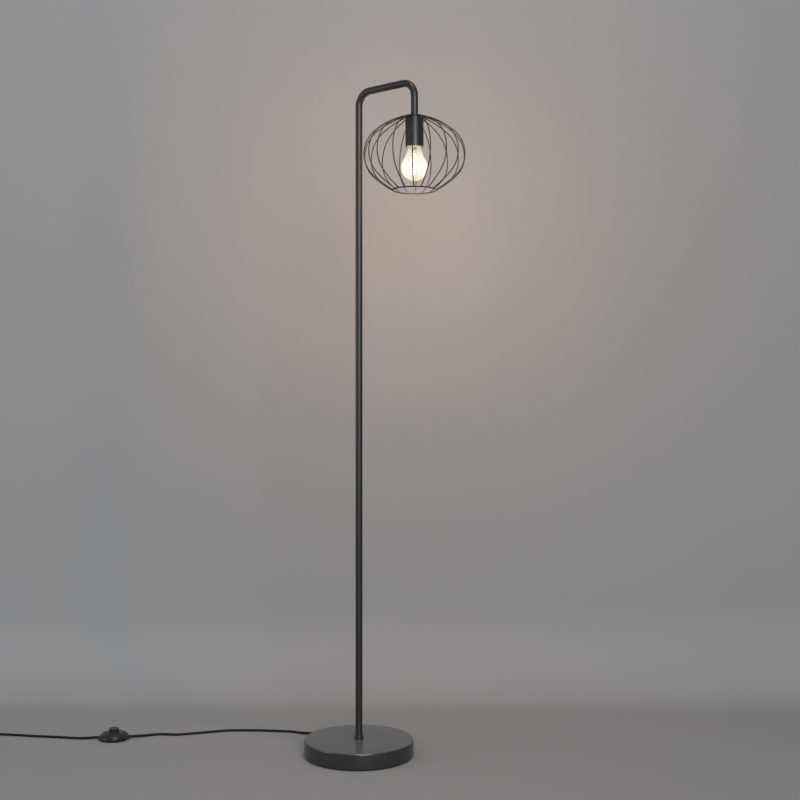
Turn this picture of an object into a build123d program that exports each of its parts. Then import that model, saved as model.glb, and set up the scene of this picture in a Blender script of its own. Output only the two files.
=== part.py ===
"""Floor lamp: a bent tube on a round foot carries a wire cage with a bare screw-in bulb.

Millimetres. Origin at the centre of the foot's underside, +Z up, +X along the arm.
"""

from build123d import *
from math import atan2, cos, degrees, pi, radians, sin, sqrt, tan
import os

# ---------------------------------------------------------------- driving dimensions
# Tube
height = 1520.0  # floor to the top of the arm
arm_reach = 165.0  # pole axis to lamp axis
arm_drop = 84.5  # top of the arm to the end of the down tube
tube_d = 16.0
tube_wall = 1.2
bend_r = 32.0  # centreline radius of both bends
seam_z = 1157.0  # where the two lengths of pole screw together
joint_len = 44.0
joint_wall = 1.8
insert_len = 16.0

# Foot
base_d = 250.0
base_h = 38.0
shell_wall = 1.5
shell_edge_r = 3.0
pad_t = 4.0
pad_inset = 3.0
collar_d = 20.0
collar_h = 9.0
collar_edge = 1.0
recess_d = 44.0
recess_roof = 6.5  # weight left above the recess
washer_d = 28.0
washer_t = 1.5
base_nut_af = 17.0
base_nut_t = 4.0
channel_side = 0.3  # between the bush and the channel it sits in

# Threaded pipe that carries the cable through each clamped joint
pipe_d = 10.0
pipe_bore = 8.0
pipe_past_nut = 1.0
cup_nut_af = 14.0
cup_nut_t = 4.0

# Wire cage
cage_disc_d = 42.0
cage_disc_t = 2.5
rib_count = 18
rib_first = 7.5  # angle of the first rib from the arm
rib_d = 2.4
rib_fall = 14.0  # slope of a rib where it leaves the disc
rib_rise = 29.0  # slope of a rib where it meets the ring
cage_widest_d = 225.0
cage_widest_drop = 85.0  # disc to the widest place
cage_h = 161.5  # disc to the ring, centre to centre
ring_d = 95.0
ring_wire_d = 3.0
ribs_in_node = 3
rib_strays = {1: 5, 5: 2.5, 8: 3, 9: 3, 10: 3, 13: -3.5, 14: -2}  # degrees off an even spread

# Lampholder and its cover
cup_d = 40.0
cup_h = 66.0
cup_wall = 1.0
cup_edge_r = 1.5
holder_gap = 0.5
holder_lip = 1.5  # the holder's mouth sits this far up inside the cover
socket_depth = 29.0
socket_wall = 4.6
socket_floor = 4.0
shell_t = 0.5
holder_cap_h = 22.0
holder_neck_h = 5.0
holder_cap_wall = 2.0
thread_shell_inset = 3.0  # from the holder's mouth to its thread shell
terminal_d = 5.0
terminal_h = 4.0
terminal_spacing = 20.0
terminal_slot_w = 0.8
terminal_slot_t = 0.8

# Bulb
bulb_d = 60.0
bulb_l = 105.0
bulb_glass_t = 1.0
bulb_neck_d = 27.0
bulb_neck_flare = 16.0  # slope of the glass where it leaves the holder
bulb_shoulder = 33.0  # where the ball passes into the neck, above its widest place
bulb_cap_d = 26.2
bulb_cap_t = 0.4
bulb_cap_h = 22.0
bulb_cone_h = 3.5
bulb_tip_d = 9.5
bulb_tip_t = 1.5
bulb_stem_l = 36.0
bulb_stem_d = 4.0
bulb_flare_l = 8.0
filament_count = 4
filament_d = 1.8
filament_l = 34.0
filament_circle_d = 18.0
filament_lean = 7.0
filament_lift = 2.0  # above the middle of the ball

# Cord
cord_d = 5.8
relief_l = 24.0
relief_root_d = 12.0
relief_tip_d = 8.0
relief_flange_d = 14.0
relief_flange_t = 2.0
cord_exit_z = 11.5
cord_exit_turn = -15.0  # the cord leaves the foot this far round from the back
cord_exit_lead = 22.0  # straight run behind the sleeve
cord_lead = 30.0  # straight run beside the switch and before the coil
cord_fall = [(-46, 4.5, 9.0), (-68, 2.5, 5.0)]  # from the sleeve's tip down to the floor
cord_to_switch = [
    (-232, 40),
    (-251, 36.5),
    (-281, 17.5),
    (-318, -7),
    (-349, -32),
    (-381, -60.5),
    (-404, -101),
    (-427, -139.5),
    (-447, -170),
    (-478, -186),
    (-492, -211.5),
]
cord_to_coil = [(-595, -337.5), (-628, -355), (-665, -377), (-699, -399), (-735, -418)]
coil_centre = Vector(-785, -505, 0)
coil_start_angle = 130.5
coil_turns = 5.25
coil_outer_r = 40.0
coil_lead = 20.0  # straight end of the coil on the side of the switch
coil_step = 6.4  # from one turn to the next in a layer
coil_layer = 6.35  # from one layer to the next
tail_runs = (14.0, 20.0, 14.0)
tail_turn = 7.0

# Foot switch
switch_centre = Vector(-537, -281, 0)
switch_d = 72.0
switch_h = 17.0
switch_wall = 2.0
switch_plate_t = 3.0
switch_rim_h = 3.5
switch_bulge = 3.2  # of the dome, beyond the straight line from rim to button
switch_cord_z = 5.2
switch_axis = 47.5  # way the cord runs through the switch
button_d = 23.5
button_top = 26.5
button_wall = 2.8
button_roof = 3.5
button_flange = 2.0
button_flange_t = 1.8
button_travel = 3.5
button_edge_r = 1.2
block_l = 34.0
block_w = 20.0
block_h = 5.2
block_edge = 2.0
spring_d = 10.0
spring_wire_d = 1.0
spring_turns = 4
screw_d = 2.6
screw_head_d = 5.4
screw_head_t = 1.4
screw_circle_d = 54.0
screw_count = 4
screw_l = 9.0
screw_cross_l = 3.4
screw_cross_w = 0.9
screw_cross_t = 0.6
boss_d = 6.4

# Plug
plug_l = 35.0
plug_w = 26.0
plug_back_w = 12.0
plug_t = 13.6
plug_shoulder = 0.55  # share of its length over which it widens
plug_edge_r = 3.0
plug_relief_l = 24.0
plug_relief_d = 9.6
plug_relief_tip_d = 7.6
pin_d = 4.0
pin_l = 19.0
pin_spacing = 18.6

# Clearances
slip = 0.1  # cable in a sleeve, insert in a tube
running = 0.35  # between a moving piece and what guides it
seat = 0.3  # between the bulb and the holder

# ---------------------------------------------------------------- worked out from them
tube_r = tube_d / 2
bore_r = tube_r - tube_wall
arm_z = height - tube_r
stack_z = height - arm_drop
cage_z = stack_z - cage_disc_t / 2
cup_top = stack_z - cage_disc_t
cup_mouth = cup_top - cup_h
holder_r = cup_d / 2 - cup_wall - holder_gap
holder_mouth = cup_mouth + holder_lip
socket_r = holder_r - socket_wall
socket_top = holder_mouth + socket_depth
bulb_top = socket_top - seat
cap_top = bulb_top - bulb_tip_t - bulb_cone_h
cap_mouth = cap_top - bulb_cap_h
cord_z = cord_d / 2
weight_r = base_d / 2 - shell_wall - slip
weight_top = base_h - shell_wall
recess_top = weight_top - recess_roof
base_nut_top = recess_top - washer_t
pipe_foot = base_nut_top - base_nut_t - pipe_past_nut
lamp = Pos(arm_reach, 0, 0)
exit_turn = Rot(0, 0, cord_exit_turn)
coil_inner_r = coil_outer_r - coil_step * coil_turns / 2
switch = Pos(switch_centre) * Rot(0, 0, switch_axis)
block_top = switch_plate_t + block_h
button_r = button_d / 2
flange_r = button_r + button_flange
flange_low = block_top + button_travel + running


# ---------------------------------------------------------------- small tools
def disc(radius, bottom, top):
    return Pos(0, 0, (bottom + top) / 2) * Cylinder(radius, top - bottom)


def ring(outer_r, inner_r, bottom, top):
    return disc(outer_r, bottom, top) - disc(inner_r, bottom, top)


def turned(outline):
    """Solid of revolution about Z from an outline in the XZ plane."""
    return revolve(make_face(outline), Axis.Z)


def at(radius, z):
    return (radius, 0, z)


def hex_nut(across_flats, hole_r, bottom, top):
    blank = extrude(RegularPolygon(across_flats / 2, 6, major_radius=False), top - bottom)
    return Pos(0, 0, bottom) * blank - disc(hole_r, bottom - 1, top + 1)


def heading(angle):
    return Vector(cos(radians(angle)), sin(radians(angle)), 0)


def biarc(start, start_way, end, end_way):
    """Two arcs that leave start along start_way and reach end along end_way."""
    start, end = Vector(*start), Vector(*end)
    start_way, end_way = Vector(*start_way).normalized(), Vector(*end_way).normalized()
    chord = end - start
    both = start_way + end_way
    fold = 2 * (1 - start_way.dot(end_way))
    along = chord.dot(both)
    reach = (sqrt(along**2 + fold * chord.dot(chord)) - along) / fold
    middle = (start + end + (start_way - end_way) * reach) * 0.5
    middle_way = (end - end_way * reach) - (start + start_way * reach)
    return [TangentArc(start, middle, tangent=start_way), TangentArc(middle, end, tangent=middle_way)]


def wire_along(edges, diameter):
    """Round wire swept along joined edges."""
    path = Wire([edge.edges()[0] if isinstance(edge, BaseLineObject) else edge for edge in edges])
    section = Plane(origin=path @ 0, z_dir=path % 0) * Circle(diameter / 2)
    return sweep(section, path)


# ---------------------------------------------------------------- foot
def base_shell():
    outer = disc(base_d / 2, pad_t, base_h)
    outer = fillet(outer.edges().group_by(Axis.Z)[-1], shell_edge_r)
    inner = disc(base_d / 2 - shell_wall, pad_t, weight_top)
    exit_hole = Pos(-base_d / 2, 0, cord_exit_z) * Rot(0, 90, 0) * Cylinder(relief_root_d / 2, 6 * shell_wall)
    return outer - inner - disc(pipe_d / 2 + slip, 0, base_h + 1) - exit_turn * exit_hole


def base_weight():
    """Cast disc with a recess for the nut and a channel that leads the cable out."""
    body = disc(weight_r, pad_t, weight_top)
    recess = disc(recess_d / 2, pad_t, recess_top)
    channel_w = relief_root_d + 2 * channel_side
    channel_h = cord_exit_z + channel_w / 2
    channel = Pos(-base_d / 4, 0, channel_h / 2) * Box(base_d / 2, channel_w, channel_h)
    return body - recess - exit_turn * channel - disc(pipe_d / 2 + slip, 0, base_h)


def foot_pad():
    return disc(base_d / 2 - pad_inset, 0, pad_t)


def base_washer():
    return ring(washer_d / 2, pipe_d / 2 + slip, base_nut_top, recess_top)


def base_nut():
    return hex_nut(base_nut_af, pipe_d / 2, base_nut_top - base_nut_t, base_nut_top)


def base_pipe():
    return ring(pipe_d / 2, pipe_bore / 2, pipe_foot, base_h + insert_len)


def pole_collar():
    body = ring(collar_d / 2, tube_r + slip, base_h, base_h + collar_h)
    return chamfer(body.edges().group_by(Axis.Z)[-1].sort_by(SortBy.RADIUS)[-1], collar_edge)


def behind_foot(distance):
    """Point on the line along which the cord leaves the foot, so far from the pole's axis."""
    place = heading(180 + cord_exit_turn) * distance
    return (place.X, place.Y, cord_exit_z)


def cord_relief():
    """Moulded bush in the back of the foot, with a tapered sleeve along the cord."""
    wall_x = base_d / 2
    tip_x = wall_x + relief_l
    bore = cord_d / 2 + slip
    outline = Polyline(
        at(bore, wall_x - 2 * shell_wall),
        at(relief_root_d / 2 - slip, wall_x - 2 * shell_wall),
        at(relief_root_d / 2 - slip, wall_x),
        at(relief_flange_d / 2, wall_x),
        at(relief_flange_d / 2, wall_x + relief_flange_t),
        at(relief_root_d / 2, wall_x + relief_flange_t),
        at(relief_tip_d / 2, tip_x),
        at(bore, tip_x),
        close=True,
    )
    return exit_turn * Pos(0, 0, cord_exit_z) * Rot(0, -90, 0) * turned(outline)


# ---------------------------------------------------------------- tube
def pole_insert(bottom):
    return ring(bore_r - slip / 2, pipe_d / 2, bottom, bottom + insert_len)


def pole_lower():
    return ring(tube_r, bore_r, base_h, seam_z)


def pole_joint():
    return ring(bore_r - slip / 2, bore_r - joint_wall, seam_z - joint_len / 2, seam_z + joint_len / 2)


def arm_path():
    corners = [(0, 0, seam_z), (0, 0, arm_z), (arm_reach, 0, arm_z), (arm_reach, 0, stack_z)]
    return FilletPolyline(*corners, radius=bend_r)


def pole_upper():
    """Upper pole, arm and down tube: one length of tube with two bends."""
    path = arm_path()
    section = Pos(0, 0, seam_z) * (Circle(tube_r) - Circle(bore_r))
    return sweep(section, path)


def inner_cable():
    """Cable from the back of the foot through the pole and the arm to the lampholder."""
    end_z = socket_top + socket_floor + holder_cap_h / 2
    corners = [
        behind_foot(base_d / 2 + relief_l),
        (0, 0, cord_exit_z),
        (0, 0, arm_z),
        (arm_reach, 0, arm_z),
        (arm_reach, 0, end_z),
    ]
    foot_bend_r = pipe_foot - cord_exit_z
    path = FilletPolyline(*corners, radius=[foot_bend_r, bend_r, bend_r])
    return sweep(Plane(origin=corners[0], z_dir=heading(cord_exit_turn)) * Circle(cord_d / 2), path)


# ---------------------------------------------------------------- cage
def cage_disc():
    return lamp * ring(cage_disc_d / 2, pipe_d / 2 + slip, cup_top, stack_z)


def cage_ring():
    return lamp * Pos(0, 0, cage_z - cage_h) * Torus(ring_d / 2, ring_wire_d / 2)


def rib():
    """One rib in the XZ plane, cut to lie on the rim of the disc and on the ring."""
    top = at(cage_disc_d / 2 - 1, cage_z)
    widest = at(cage_widest_d / 2 - rib_d / 2, cage_z - cage_widest_drop)
    foot = at(ring_d / 2, cage_z - cage_h)
    fall, rise = radians(rib_fall), radians(rib_rise)
    upper = biarc(top, at(cos(fall), -sin(fall)), widest, at(0, -1))
    lower = biarc(widest, at(0, -1), foot, at(-cos(rise), -sin(rise)))
    wire = wire_along(upper + lower, rib_d)
    ring_wire = Pos(0, 0, cage_z - cage_h) * Torus(ring_d / 2, ring_wire_d / 2)
    hub = disc(cage_disc_d / 2, cup_top - rib_d, stack_z + rib_d)
    return wire - hub - ring_wire


def cage_ribs():
    """Ribs in groups spread round the cage, some a little off their even places."""
    one = rib()
    groups = rib_count // ribs_in_node
    step = 360 / rib_count
    made = []
    for first in range(groups):
        numbers = [first + groups * k for k in range(ribs_in_node)]
        turns = [rib_first + step * number + rib_strays.get(number, 0) for number in numbers]
        made.append(Compound([lamp * Rot(0, 0, turn) * one for turn in turns]))
    return made


# ---------------------------------------------------------------- lampholder
def lampholder_cup():
    outer = disc(cup_d / 2, cup_mouth, cup_top)
    outer = fillet(outer.edges().group_by(Axis.Z)[-1], cup_edge_r)
    inner = disc(cup_d / 2 - cup_wall, cup_mouth - 1, cup_top - cup_wall)
    return lamp * (outer - inner - disc(pipe_d / 2 + slip, cup_mouth, cup_top + 1))


def cup_nut():
    top = cup_top - cup_wall
    return lamp * hex_nut(cup_nut_af, pipe_d / 2, top - cup_nut_t, top)


def lamp_pipe():
    bottom = socket_top + socket_floor + holder_cap_h - holder_neck_h
    return lamp * ring(pipe_d / 2, pipe_bore / 2, bottom, stack_z + insert_len)


def lampholder_cap():
    """Upper half of the holder, hollow for the wires, with a threaded neck."""
    bottom = socket_top + socket_floor
    top = bottom + holder_cap_h
    shoulder = top - holder_neck_h
    wall = holder_cap_wall
    neck_r = pipe_d / 2 + wall
    outline = Polyline(
        at(holder_r - wall, bottom),
        at(holder_r, bottom),
        at(holder_r, bottom + holder_cap_h / 2),
        at(neck_r + wall, shoulder),
        at(neck_r, top),
        at(pipe_d / 2, top),
        at(pipe_d / 2, shoulder - wall),
        at(neck_r, shoulder - wall),
        at(holder_r - wall, bottom + holder_cap_h / 2),
        close=True,
    )
    return lamp * turned(outline)


def lampholder_body():
    body = disc(holder_r, holder_mouth, socket_top + socket_floor)
    socket = disc(socket_r, holder_mouth - 1, socket_top)
    contact_slot = disc(bulb_tip_d / 4, socket_top - 1, socket_top + socket_floor + 1)
    return lamp * (body - socket - contact_slot)


def thread_shell():
    bottom = holder_mouth + thread_shell_inset
    return lamp * ring(socket_r, socket_r - shell_t, bottom, socket_top)


def centre_contact():
    """Sprung tongue in the middle of the socket, on its rivet."""
    rivet = disc(bulb_tip_d / 4, socket_top, socket_top + socket_floor + 1)
    return lamp * rivet


def terminal_screws():
    base = socket_top + socket_floor
    screw = disc(terminal_d / 2, base, base + terminal_h)
    screw -= Pos(0, 0, base + terminal_h) * Box(terminal_d + 1, terminal_slot_w, 2 * terminal_slot_t)
    sides = [Pos(0, side * terminal_spacing / 2, 0) * screw for side in (-1, 1)]
    return Compound([lamp * one for one in sides])


# ---------------------------------------------------------------- bulb
def glass_outline(shrink):
    """Half outline of the glass from its neck to its lowest point."""
    ball_r = bulb_d / 2 - shrink
    neck_r = bulb_neck_d / 2 - shrink
    centre_z = bulb_top - bulb_l + bulb_d / 2
    shoulder = radians(bulb_shoulder)
    meet = (ball_r * cos(shoulder), centre_z + ball_r * sin(shoulder))
    neck_z = holder_mouth
    flare = radians(bulb_neck_flare)
    low = centre_z - ball_r
    side = biarc(at(neck_r, neck_z), at(sin(flare), -cos(flare)), at(*meet), at(sin(shoulder), -cos(shoulder)))
    bowl = CenterArc((0, 0, 0), ball_r, -90, 90 + degrees(shoulder))
    bowl = Pos(0, 0, centre_z) * Rot(90, 0, 0) * bowl
    return neck_r, neck_z, low, side, bowl


def bulb_glass():
    neck_top = cap_mouth + bulb_glass_t
    outer_r, outer_z, outer_low, outer_side, outer_bowl = glass_outline(0)
    inner_r, inner_z, inner_low, inner_side, inner_bowl = glass_outline(bulb_glass_t)
    cap_r = bulb_cap_d / 2 - bulb_cap_t - slip
    rim = Polyline(at(outer_r, outer_z), at(outer_r, cap_mouth), at(cap_r, cap_mouth), at(cap_r, neck_top))
    lip = Polyline(at(cap_r, neck_top), at(inner_r, neck_top), at(inner_r, inner_z))
    axis_edge = Line(at(0, inner_low), at(0, outer_low))
    edges = [*rim.edges(), *lip.edges(), axis_edge.edge()]
    for piece in (*outer_side, outer_bowl, *inner_side, inner_bowl):
        edges += piece.edges()
    return lamp * turned(edges)


def bulb_cap():
    cap_r = bulb_cap_d / 2
    shell = ring(cap_r, cap_r - bulb_cap_t, cap_mouth, cap_top)
    roof = ring(cap_r, bulb_tip_d / 2 + 1, cap_top - bulb_cap_t, cap_top)
    return lamp * (shell + roof)


def bulb_insulator():
    outline = Polyline(
        at(0, cap_top),
        at(bulb_cap_d / 2 - 1, cap_top),
        at(bulb_tip_d / 2, cap_top + bulb_cone_h),
        at(0, cap_top + bulb_cone_h),
        close=True,
    )
    return lamp * turned(outline)


def bulb_contact():
    return lamp * disc(bulb_tip_d / 2, bulb_top - bulb_tip_t, bulb_top)


def bulb_stem():
    """Glass foot sealed into the neck, with the rod that carries the filaments."""
    top = cap_mouth + bulb_glass_t
    tip = top - bulb_stem_l
    flare_r = bulb_neck_d / 2 - bulb_glass_t - seat
    outline = Polyline(
        at(0, top),
        at(flare_r, top),
        at(bulb_stem_d, top - bulb_flare_l),
        at(bulb_stem_d / 2, top - 2 * bulb_flare_l),
        at(bulb_stem_d / 2, tip),
        at(0, tip),
        close=True,
    )
    return lamp * turned(outline)


def bulb_filaments():
    """Glowing rods round the stem, standing between a lower and an upper hoop."""
    stem_tip = cap_mouth + bulb_glass_t - bulb_stem_l
    middle_z = bulb_top - bulb_l + bulb_d / 2 + filament_lift
    made = []
    for k in range(filament_count):
        rod = Cylinder(filament_d / 2, filament_l)
        rod = Pos(filament_circle_d / 2, 0, middle_z) * Rot(0, -filament_lean, 0) * rod
        made.append(Rot(0, 0, 45 + 360 / filament_count * k) * rod)
    spread = filament_l / 2 * sin(radians(filament_lean))
    hoop_r = filament_circle_d / 2 + spread
    hoop_z = middle_z - filament_l / 2 * cos(radians(filament_lean))
    hoop = Pos(0, 0, hoop_z) * Torus(hoop_r, filament_d / 4)
    spider_z = middle_z + filament_l / 2 * cos(radians(filament_lean))
    arms_r = filament_circle_d / 2 - spread
    arms = [
        Rot(0, 0, 45 + 360 / filament_count * k) * Pos(arms_r / 2, 0, spider_z) * Rot(0, 90, 0)
        * Cylinder(filament_d / 4, arms_r)
        for k in range(filament_count)
    ]
    whole = made[0].fuse(*made[1:], hoop, *arms)
    core = disc(bulb_stem_d / 2, stem_tip, cap_mouth)
    return lamp * (whole - core)


# ---------------------------------------------------------------- cord
def corner_radii(points):
    """Largest arc at each corner that its two runs allow."""
    radii = []
    for before, here, after in zip(points, points[1:], points[2:]):
        back, on = Vector(*here) - Vector(*before), Vector(*after) - Vector(*here)
        half_turn = radians(back.get_angle(on)) / 2
        radii.append(0.45 * min(back.length, on.length) / tan(half_turn))
    return radii


def cord_tube(name, points):
    """Round cord along straight runs joined by tangent arcs."""
    radii = corner_radii(points)
    path = FilletPolyline(*points, radius=radii)
    way = Vector(*points[1]) - Vector(*points[0])
    solid = sweep(Plane(origin=points[0], z_dir=way) * Circle(cord_d / 2), path)
    length = path.length
    share = solid.volume / (pi * cord_d**2 / 4 * length)
    print(f"{name}: length {length:.0f}, radii {[round(r) for r in radii]}, volume ratio {share:.4f}")
    return solid, length


def coil_point(turn):
    """Place on the coil, a number of turns before or after the spiral reverses."""
    radius = coil_inner_r + coil_step * abs(turn)
    angle = radians(coil_start_angle) + 2 * pi * (turn + coil_turns / 2)
    climbed = (1 + sin(2 * pi * max(-0.25, min(0.25, turn)))) / 2
    place = Vector(radius * cos(angle), radius * sin(angle), cord_z + coil_layer * climbed)
    return coil_centre + place


def coil_way(turn):
    near = 1e-4
    return (coil_point(turn + near) - coil_point(turn - near)).normalized()


def coil_knots():
    """Quarter turns on both sides of the reversal, and the two ends."""
    half = coil_turns / 2
    quarters = int(4 * half)
    inner = [k / 4 for k in range(-quarters, quarters + 1) if abs(k / 4) < half - 0.01]
    return [-half, *inner, half]


def coil_ends():
    """Straight lead into the coil and straight end out of it: outer point and way of each."""
    half = coil_turns / 2
    way_in, way_out = coil_way(-half), coil_way(half)
    start = coil_point(-half) - way_in * coil_lead
    end = coil_point(half) + way_out * cord_d * 1.5
    return start, way_in, end, way_out


def coil_gap():
    """Least gap between turns of the coil, measured on points."""
    count = int(coil_turns * 72)
    turns = [coil_turns * (k / count - 0.5) for k in range(count + 1)]
    points = [coil_point(turn) for turn in turns]
    least = 1e9
    for i, point in enumerate(points):
        for other in points[i + 36 :]:
            least = min(least, (point - other).length)
    return least - cord_d


def cord_coil():
    start, _, end, _ = coil_ends()
    knots = coil_knots()
    edges = [Line(start, coil_point(knots[0]))]
    for a, b in zip(knots, knots[1:]):
        edges += biarc(coil_point(a), coil_way(a), coil_point(b), coil_way(b))
    edges.append(Line(coil_point(knots[-1]), end))
    solid = wire_along(edges, cord_d)
    length = sum(edge.length for edge in edges)
    share = solid.volume / (pi * cord_d**2 / 4 * length)
    print(f"cord_coil: length {length:.0f}, volume ratio {share:.4f}, least gap {coil_gap():.2f}")
    return solid, length


def switch_side(distance):
    """Point on the cord's axis through the switch."""
    place = switch_centre + heading(switch_axis) * distance
    return (place.X, place.Y, switch_cord_z)


def base_run_points():
    """Out of the sleeve, down to the floor and on to the switch."""
    tip = behind_foot(base_d / 2 + relief_l)
    return [
        tip,
        behind_foot(base_d / 2 + relief_l + cord_exit_lead),
        *[(tip[0] + x, tip[1] + y, z) for x, y, z in cord_fall],
        *[(x, y, cord_z) for x, y in cord_to_switch],
        switch_side(block_l / 2 + cord_lead),
        switch_side(block_l / 2),
    ]


def switch_run_points():
    """From the switch over the floor to the coil."""
    start, way_in, _, _ = coil_ends()
    before = start - way_in * cord_lead
    return [
        switch_side(-block_l / 2),
        switch_side(-block_l / 2 - cord_lead),
        *[(x, y, cord_z) for x, y in cord_to_coil],
        (before.X, before.Y, cord_z),
        (start.X, start.Y, cord_z),
    ]


def tail_points():
    """Short free end from the coil down to the plug, which lies beside the coil."""
    _, _, place, way = coil_ends()
    angle = degrees(atan2(way.Y, way.X))
    points = [(place.X, place.Y, place.Z)]
    heights = (place.Z, plug_t / 2, plug_t / 2)
    for k, (run, z) in enumerate(zip(tail_runs, heights)):
        step = heading(angle + tail_turn * k) * run
        points.append((points[-1][0] + step.X, points[-1][1] + step.Y, z))
    return points, angle + tail_turn * (len(tail_runs) - 1)


# ---------------------------------------------------------------- foot switch
def switch_cord_bores():
    bore = Rot(0, 90, 0) * Cylinder(cord_d / 2 + slip, switch_d + 2)
    return Pos(0, 0, switch_cord_z) * bore


def screw_places():
    return [Rot(0, 0, 45 + 360 / screw_count * k) * Pos(screw_circle_d / 2, 0, 0) for k in range(screw_count)]


def switch_base():
    plate = disc(switch_d / 2, 0, switch_plate_t)
    plate = fillet(plate.edges().group_by(Axis.Z)[0], switch_plate_t / 2)
    for place in screw_places():
        plate -= place * disc(screw_head_d / 2 + slip, 0, screw_head_t + slip)
        plate -= place * disc(screw_d / 2 + slip, 0, switch_plate_t)
    return switch * (plate - switch_cord_bores())


def dome_outline(outer_r, rim_z, top_z, top_r):
    """Half of the dome: a short upright rim, then one arc up to the button's hole."""
    rim = Line(at(outer_r, switch_plate_t), at(outer_r, rim_z))
    crest = at((outer_r + top_r) / 2 + switch_bulge, (rim_z + top_z) / 2 + switch_bulge)
    arc = ThreePointArc(at(outer_r, rim_z), crest, at(top_r, top_z))
    return rim, arc


def switch_cover():
    hole_r = button_r + running
    rim_z = switch_plate_t + switch_rim_h
    rim, arc = dome_outline(switch_d / 2, rim_z, switch_h, hole_r)
    inner_rim, inner_arc = dome_outline(switch_d / 2 - switch_wall, rim_z, switch_h - switch_wall, hole_r)
    top_edge = Line(at(hole_r, switch_h), at(hole_r, switch_h - switch_wall))
    low_edge = Line(at(switch_d / 2 - switch_wall, switch_plate_t), at(switch_d / 2, switch_plate_t))
    edges = []
    for piece in (rim, arc, top_edge, inner_arc, inner_rim, low_edge):
        edges += piece.edges()
    dome = turned(edges)
    core = Polyline(at(hole_r, switch_h), at(0, switch_h), at(0, switch_plate_t), at(switch_d / 2, switch_plate_t))
    fill = turned([*rim.edges(), *arc.edges(), *core.edges()])
    for place in screw_places():
        boss = place * disc(boss_d / 2, switch_plate_t, switch_h)
        dome += boss & fill
    for place in screw_places():
        dome -= place * disc(screw_d / 2, switch_plate_t, switch_plate_t + screw_l)
    return switch * (dome - switch_cord_bores())


def switch_block():
    """Contact unit on the plate, which clamps both cord ends."""
    body = Pos(0, 0, switch_plate_t + block_h / 2) * Box(block_l, block_w, block_h)
    body = chamfer(body.edges().filter_by(Axis.Z), block_edge)
    return switch * body


def switch_screws():
    head = disc(screw_head_d / 2, slip, screw_head_t)
    shank = disc(screw_d / 2 - slip / 2, screw_head_t, switch_plate_t + screw_l - 1)
    bar = Pos(0, 0, slip) * Box(screw_cross_l, screw_cross_w, 2 * screw_cross_t)
    one = head + shank - (bar + Rot(0, 0, 90) * bar)
    return Compound([switch * place * one for place in screw_places()])


def switch_button():
    outline = Polyline(
        at(button_r - button_wall, flange_low),
        at(flange_r, flange_low),
        at(flange_r, flange_low + button_flange_t),
        at(button_r, flange_low + button_flange_t),
        at(button_r, button_top),
        at(0, button_top),
        at(0, button_top - button_roof),
        at(button_r - button_wall, button_top - button_roof),
        close=True,
    )
    body = turned(outline)
    body = fillet(body.edges().group_by(Axis.Z)[-1], button_edge_r)
    return switch * body


def switch_spring():
    """Open coil spring between the contact unit and the roof of the button."""
    low = block_top + spring_wire_d / 2
    high = button_top - button_roof - spring_wire_d / 2
    radius = (spring_d - spring_wire_d) / 2

    def place(turn):
        angle = 2 * pi * turn
        return Vector(radius * cos(angle), radius * sin(angle), low + (high - low) * turn / spring_turns)

    def way(turn):
        return place(turn + 1e-4) - place(turn - 1e-4)

    knots = [k / 4 for k in range(4 * spring_turns + 1)]
    edges = []
    for a, b in zip(knots, knots[1:]):
        edges += biarc(place(a), way(a), place(b), way(b))
    return switch * wire_along(edges, spring_wire_d)


# ---------------------------------------------------------------- plug
def plug_place():
    points, angle = tail_points()
    return Pos(*points[-1]) * Rot(0, 0, angle)


def plug_body():
    """Flat moulded plug with its tapered sleeve; the cable enters at the origin, along +X."""
    front = plug_relief_l + plug_l
    half, back = plug_w / 2, plug_back_w / 2
    outline = Polyline(
        (plug_relief_l, -back),
        (plug_relief_l + plug_l * plug_shoulder, -half),
        (front, -half),
        (front, half),
        (plug_relief_l + plug_l * plug_shoulder, half),
        (plug_relief_l, back),
        close=True,
    )
    body = Pos(0, 0, -plug_t / 2) * extrude(make_face(outline), plug_t)
    body = fillet(body.edges().filter_by(Axis.Z), plug_edge_r)
    rims = body.edges().group_by(Axis.Z)
    body = fillet(rims[0] + rims[-1], plug_edge_r * 0.7)
    sleeve_l = plug_relief_l + 2
    sleeve = Rot(0, 90, 0) * Cone(plug_relief_tip_d / 2, plug_relief_d / 2, sleeve_l)
    return plug_place() * (body + Pos(sleeve_l / 2, 0, 0) * sleeve)


def plug_pins():
    front = plug_relief_l + plug_l
    pin = Rot(0, 90, 0) * Cylinder(pin_d / 2, pin_l)
    pin = fillet(pin.edges().group_by(Axis.X)[-1], pin_d * 0.4)
    sides = [Pos(front + pin_l / 2, side * pin_spacing / 2, 0) * pin for side in (-1, 1)]
    return Compound([plug_place() * one for one in sides])


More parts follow.
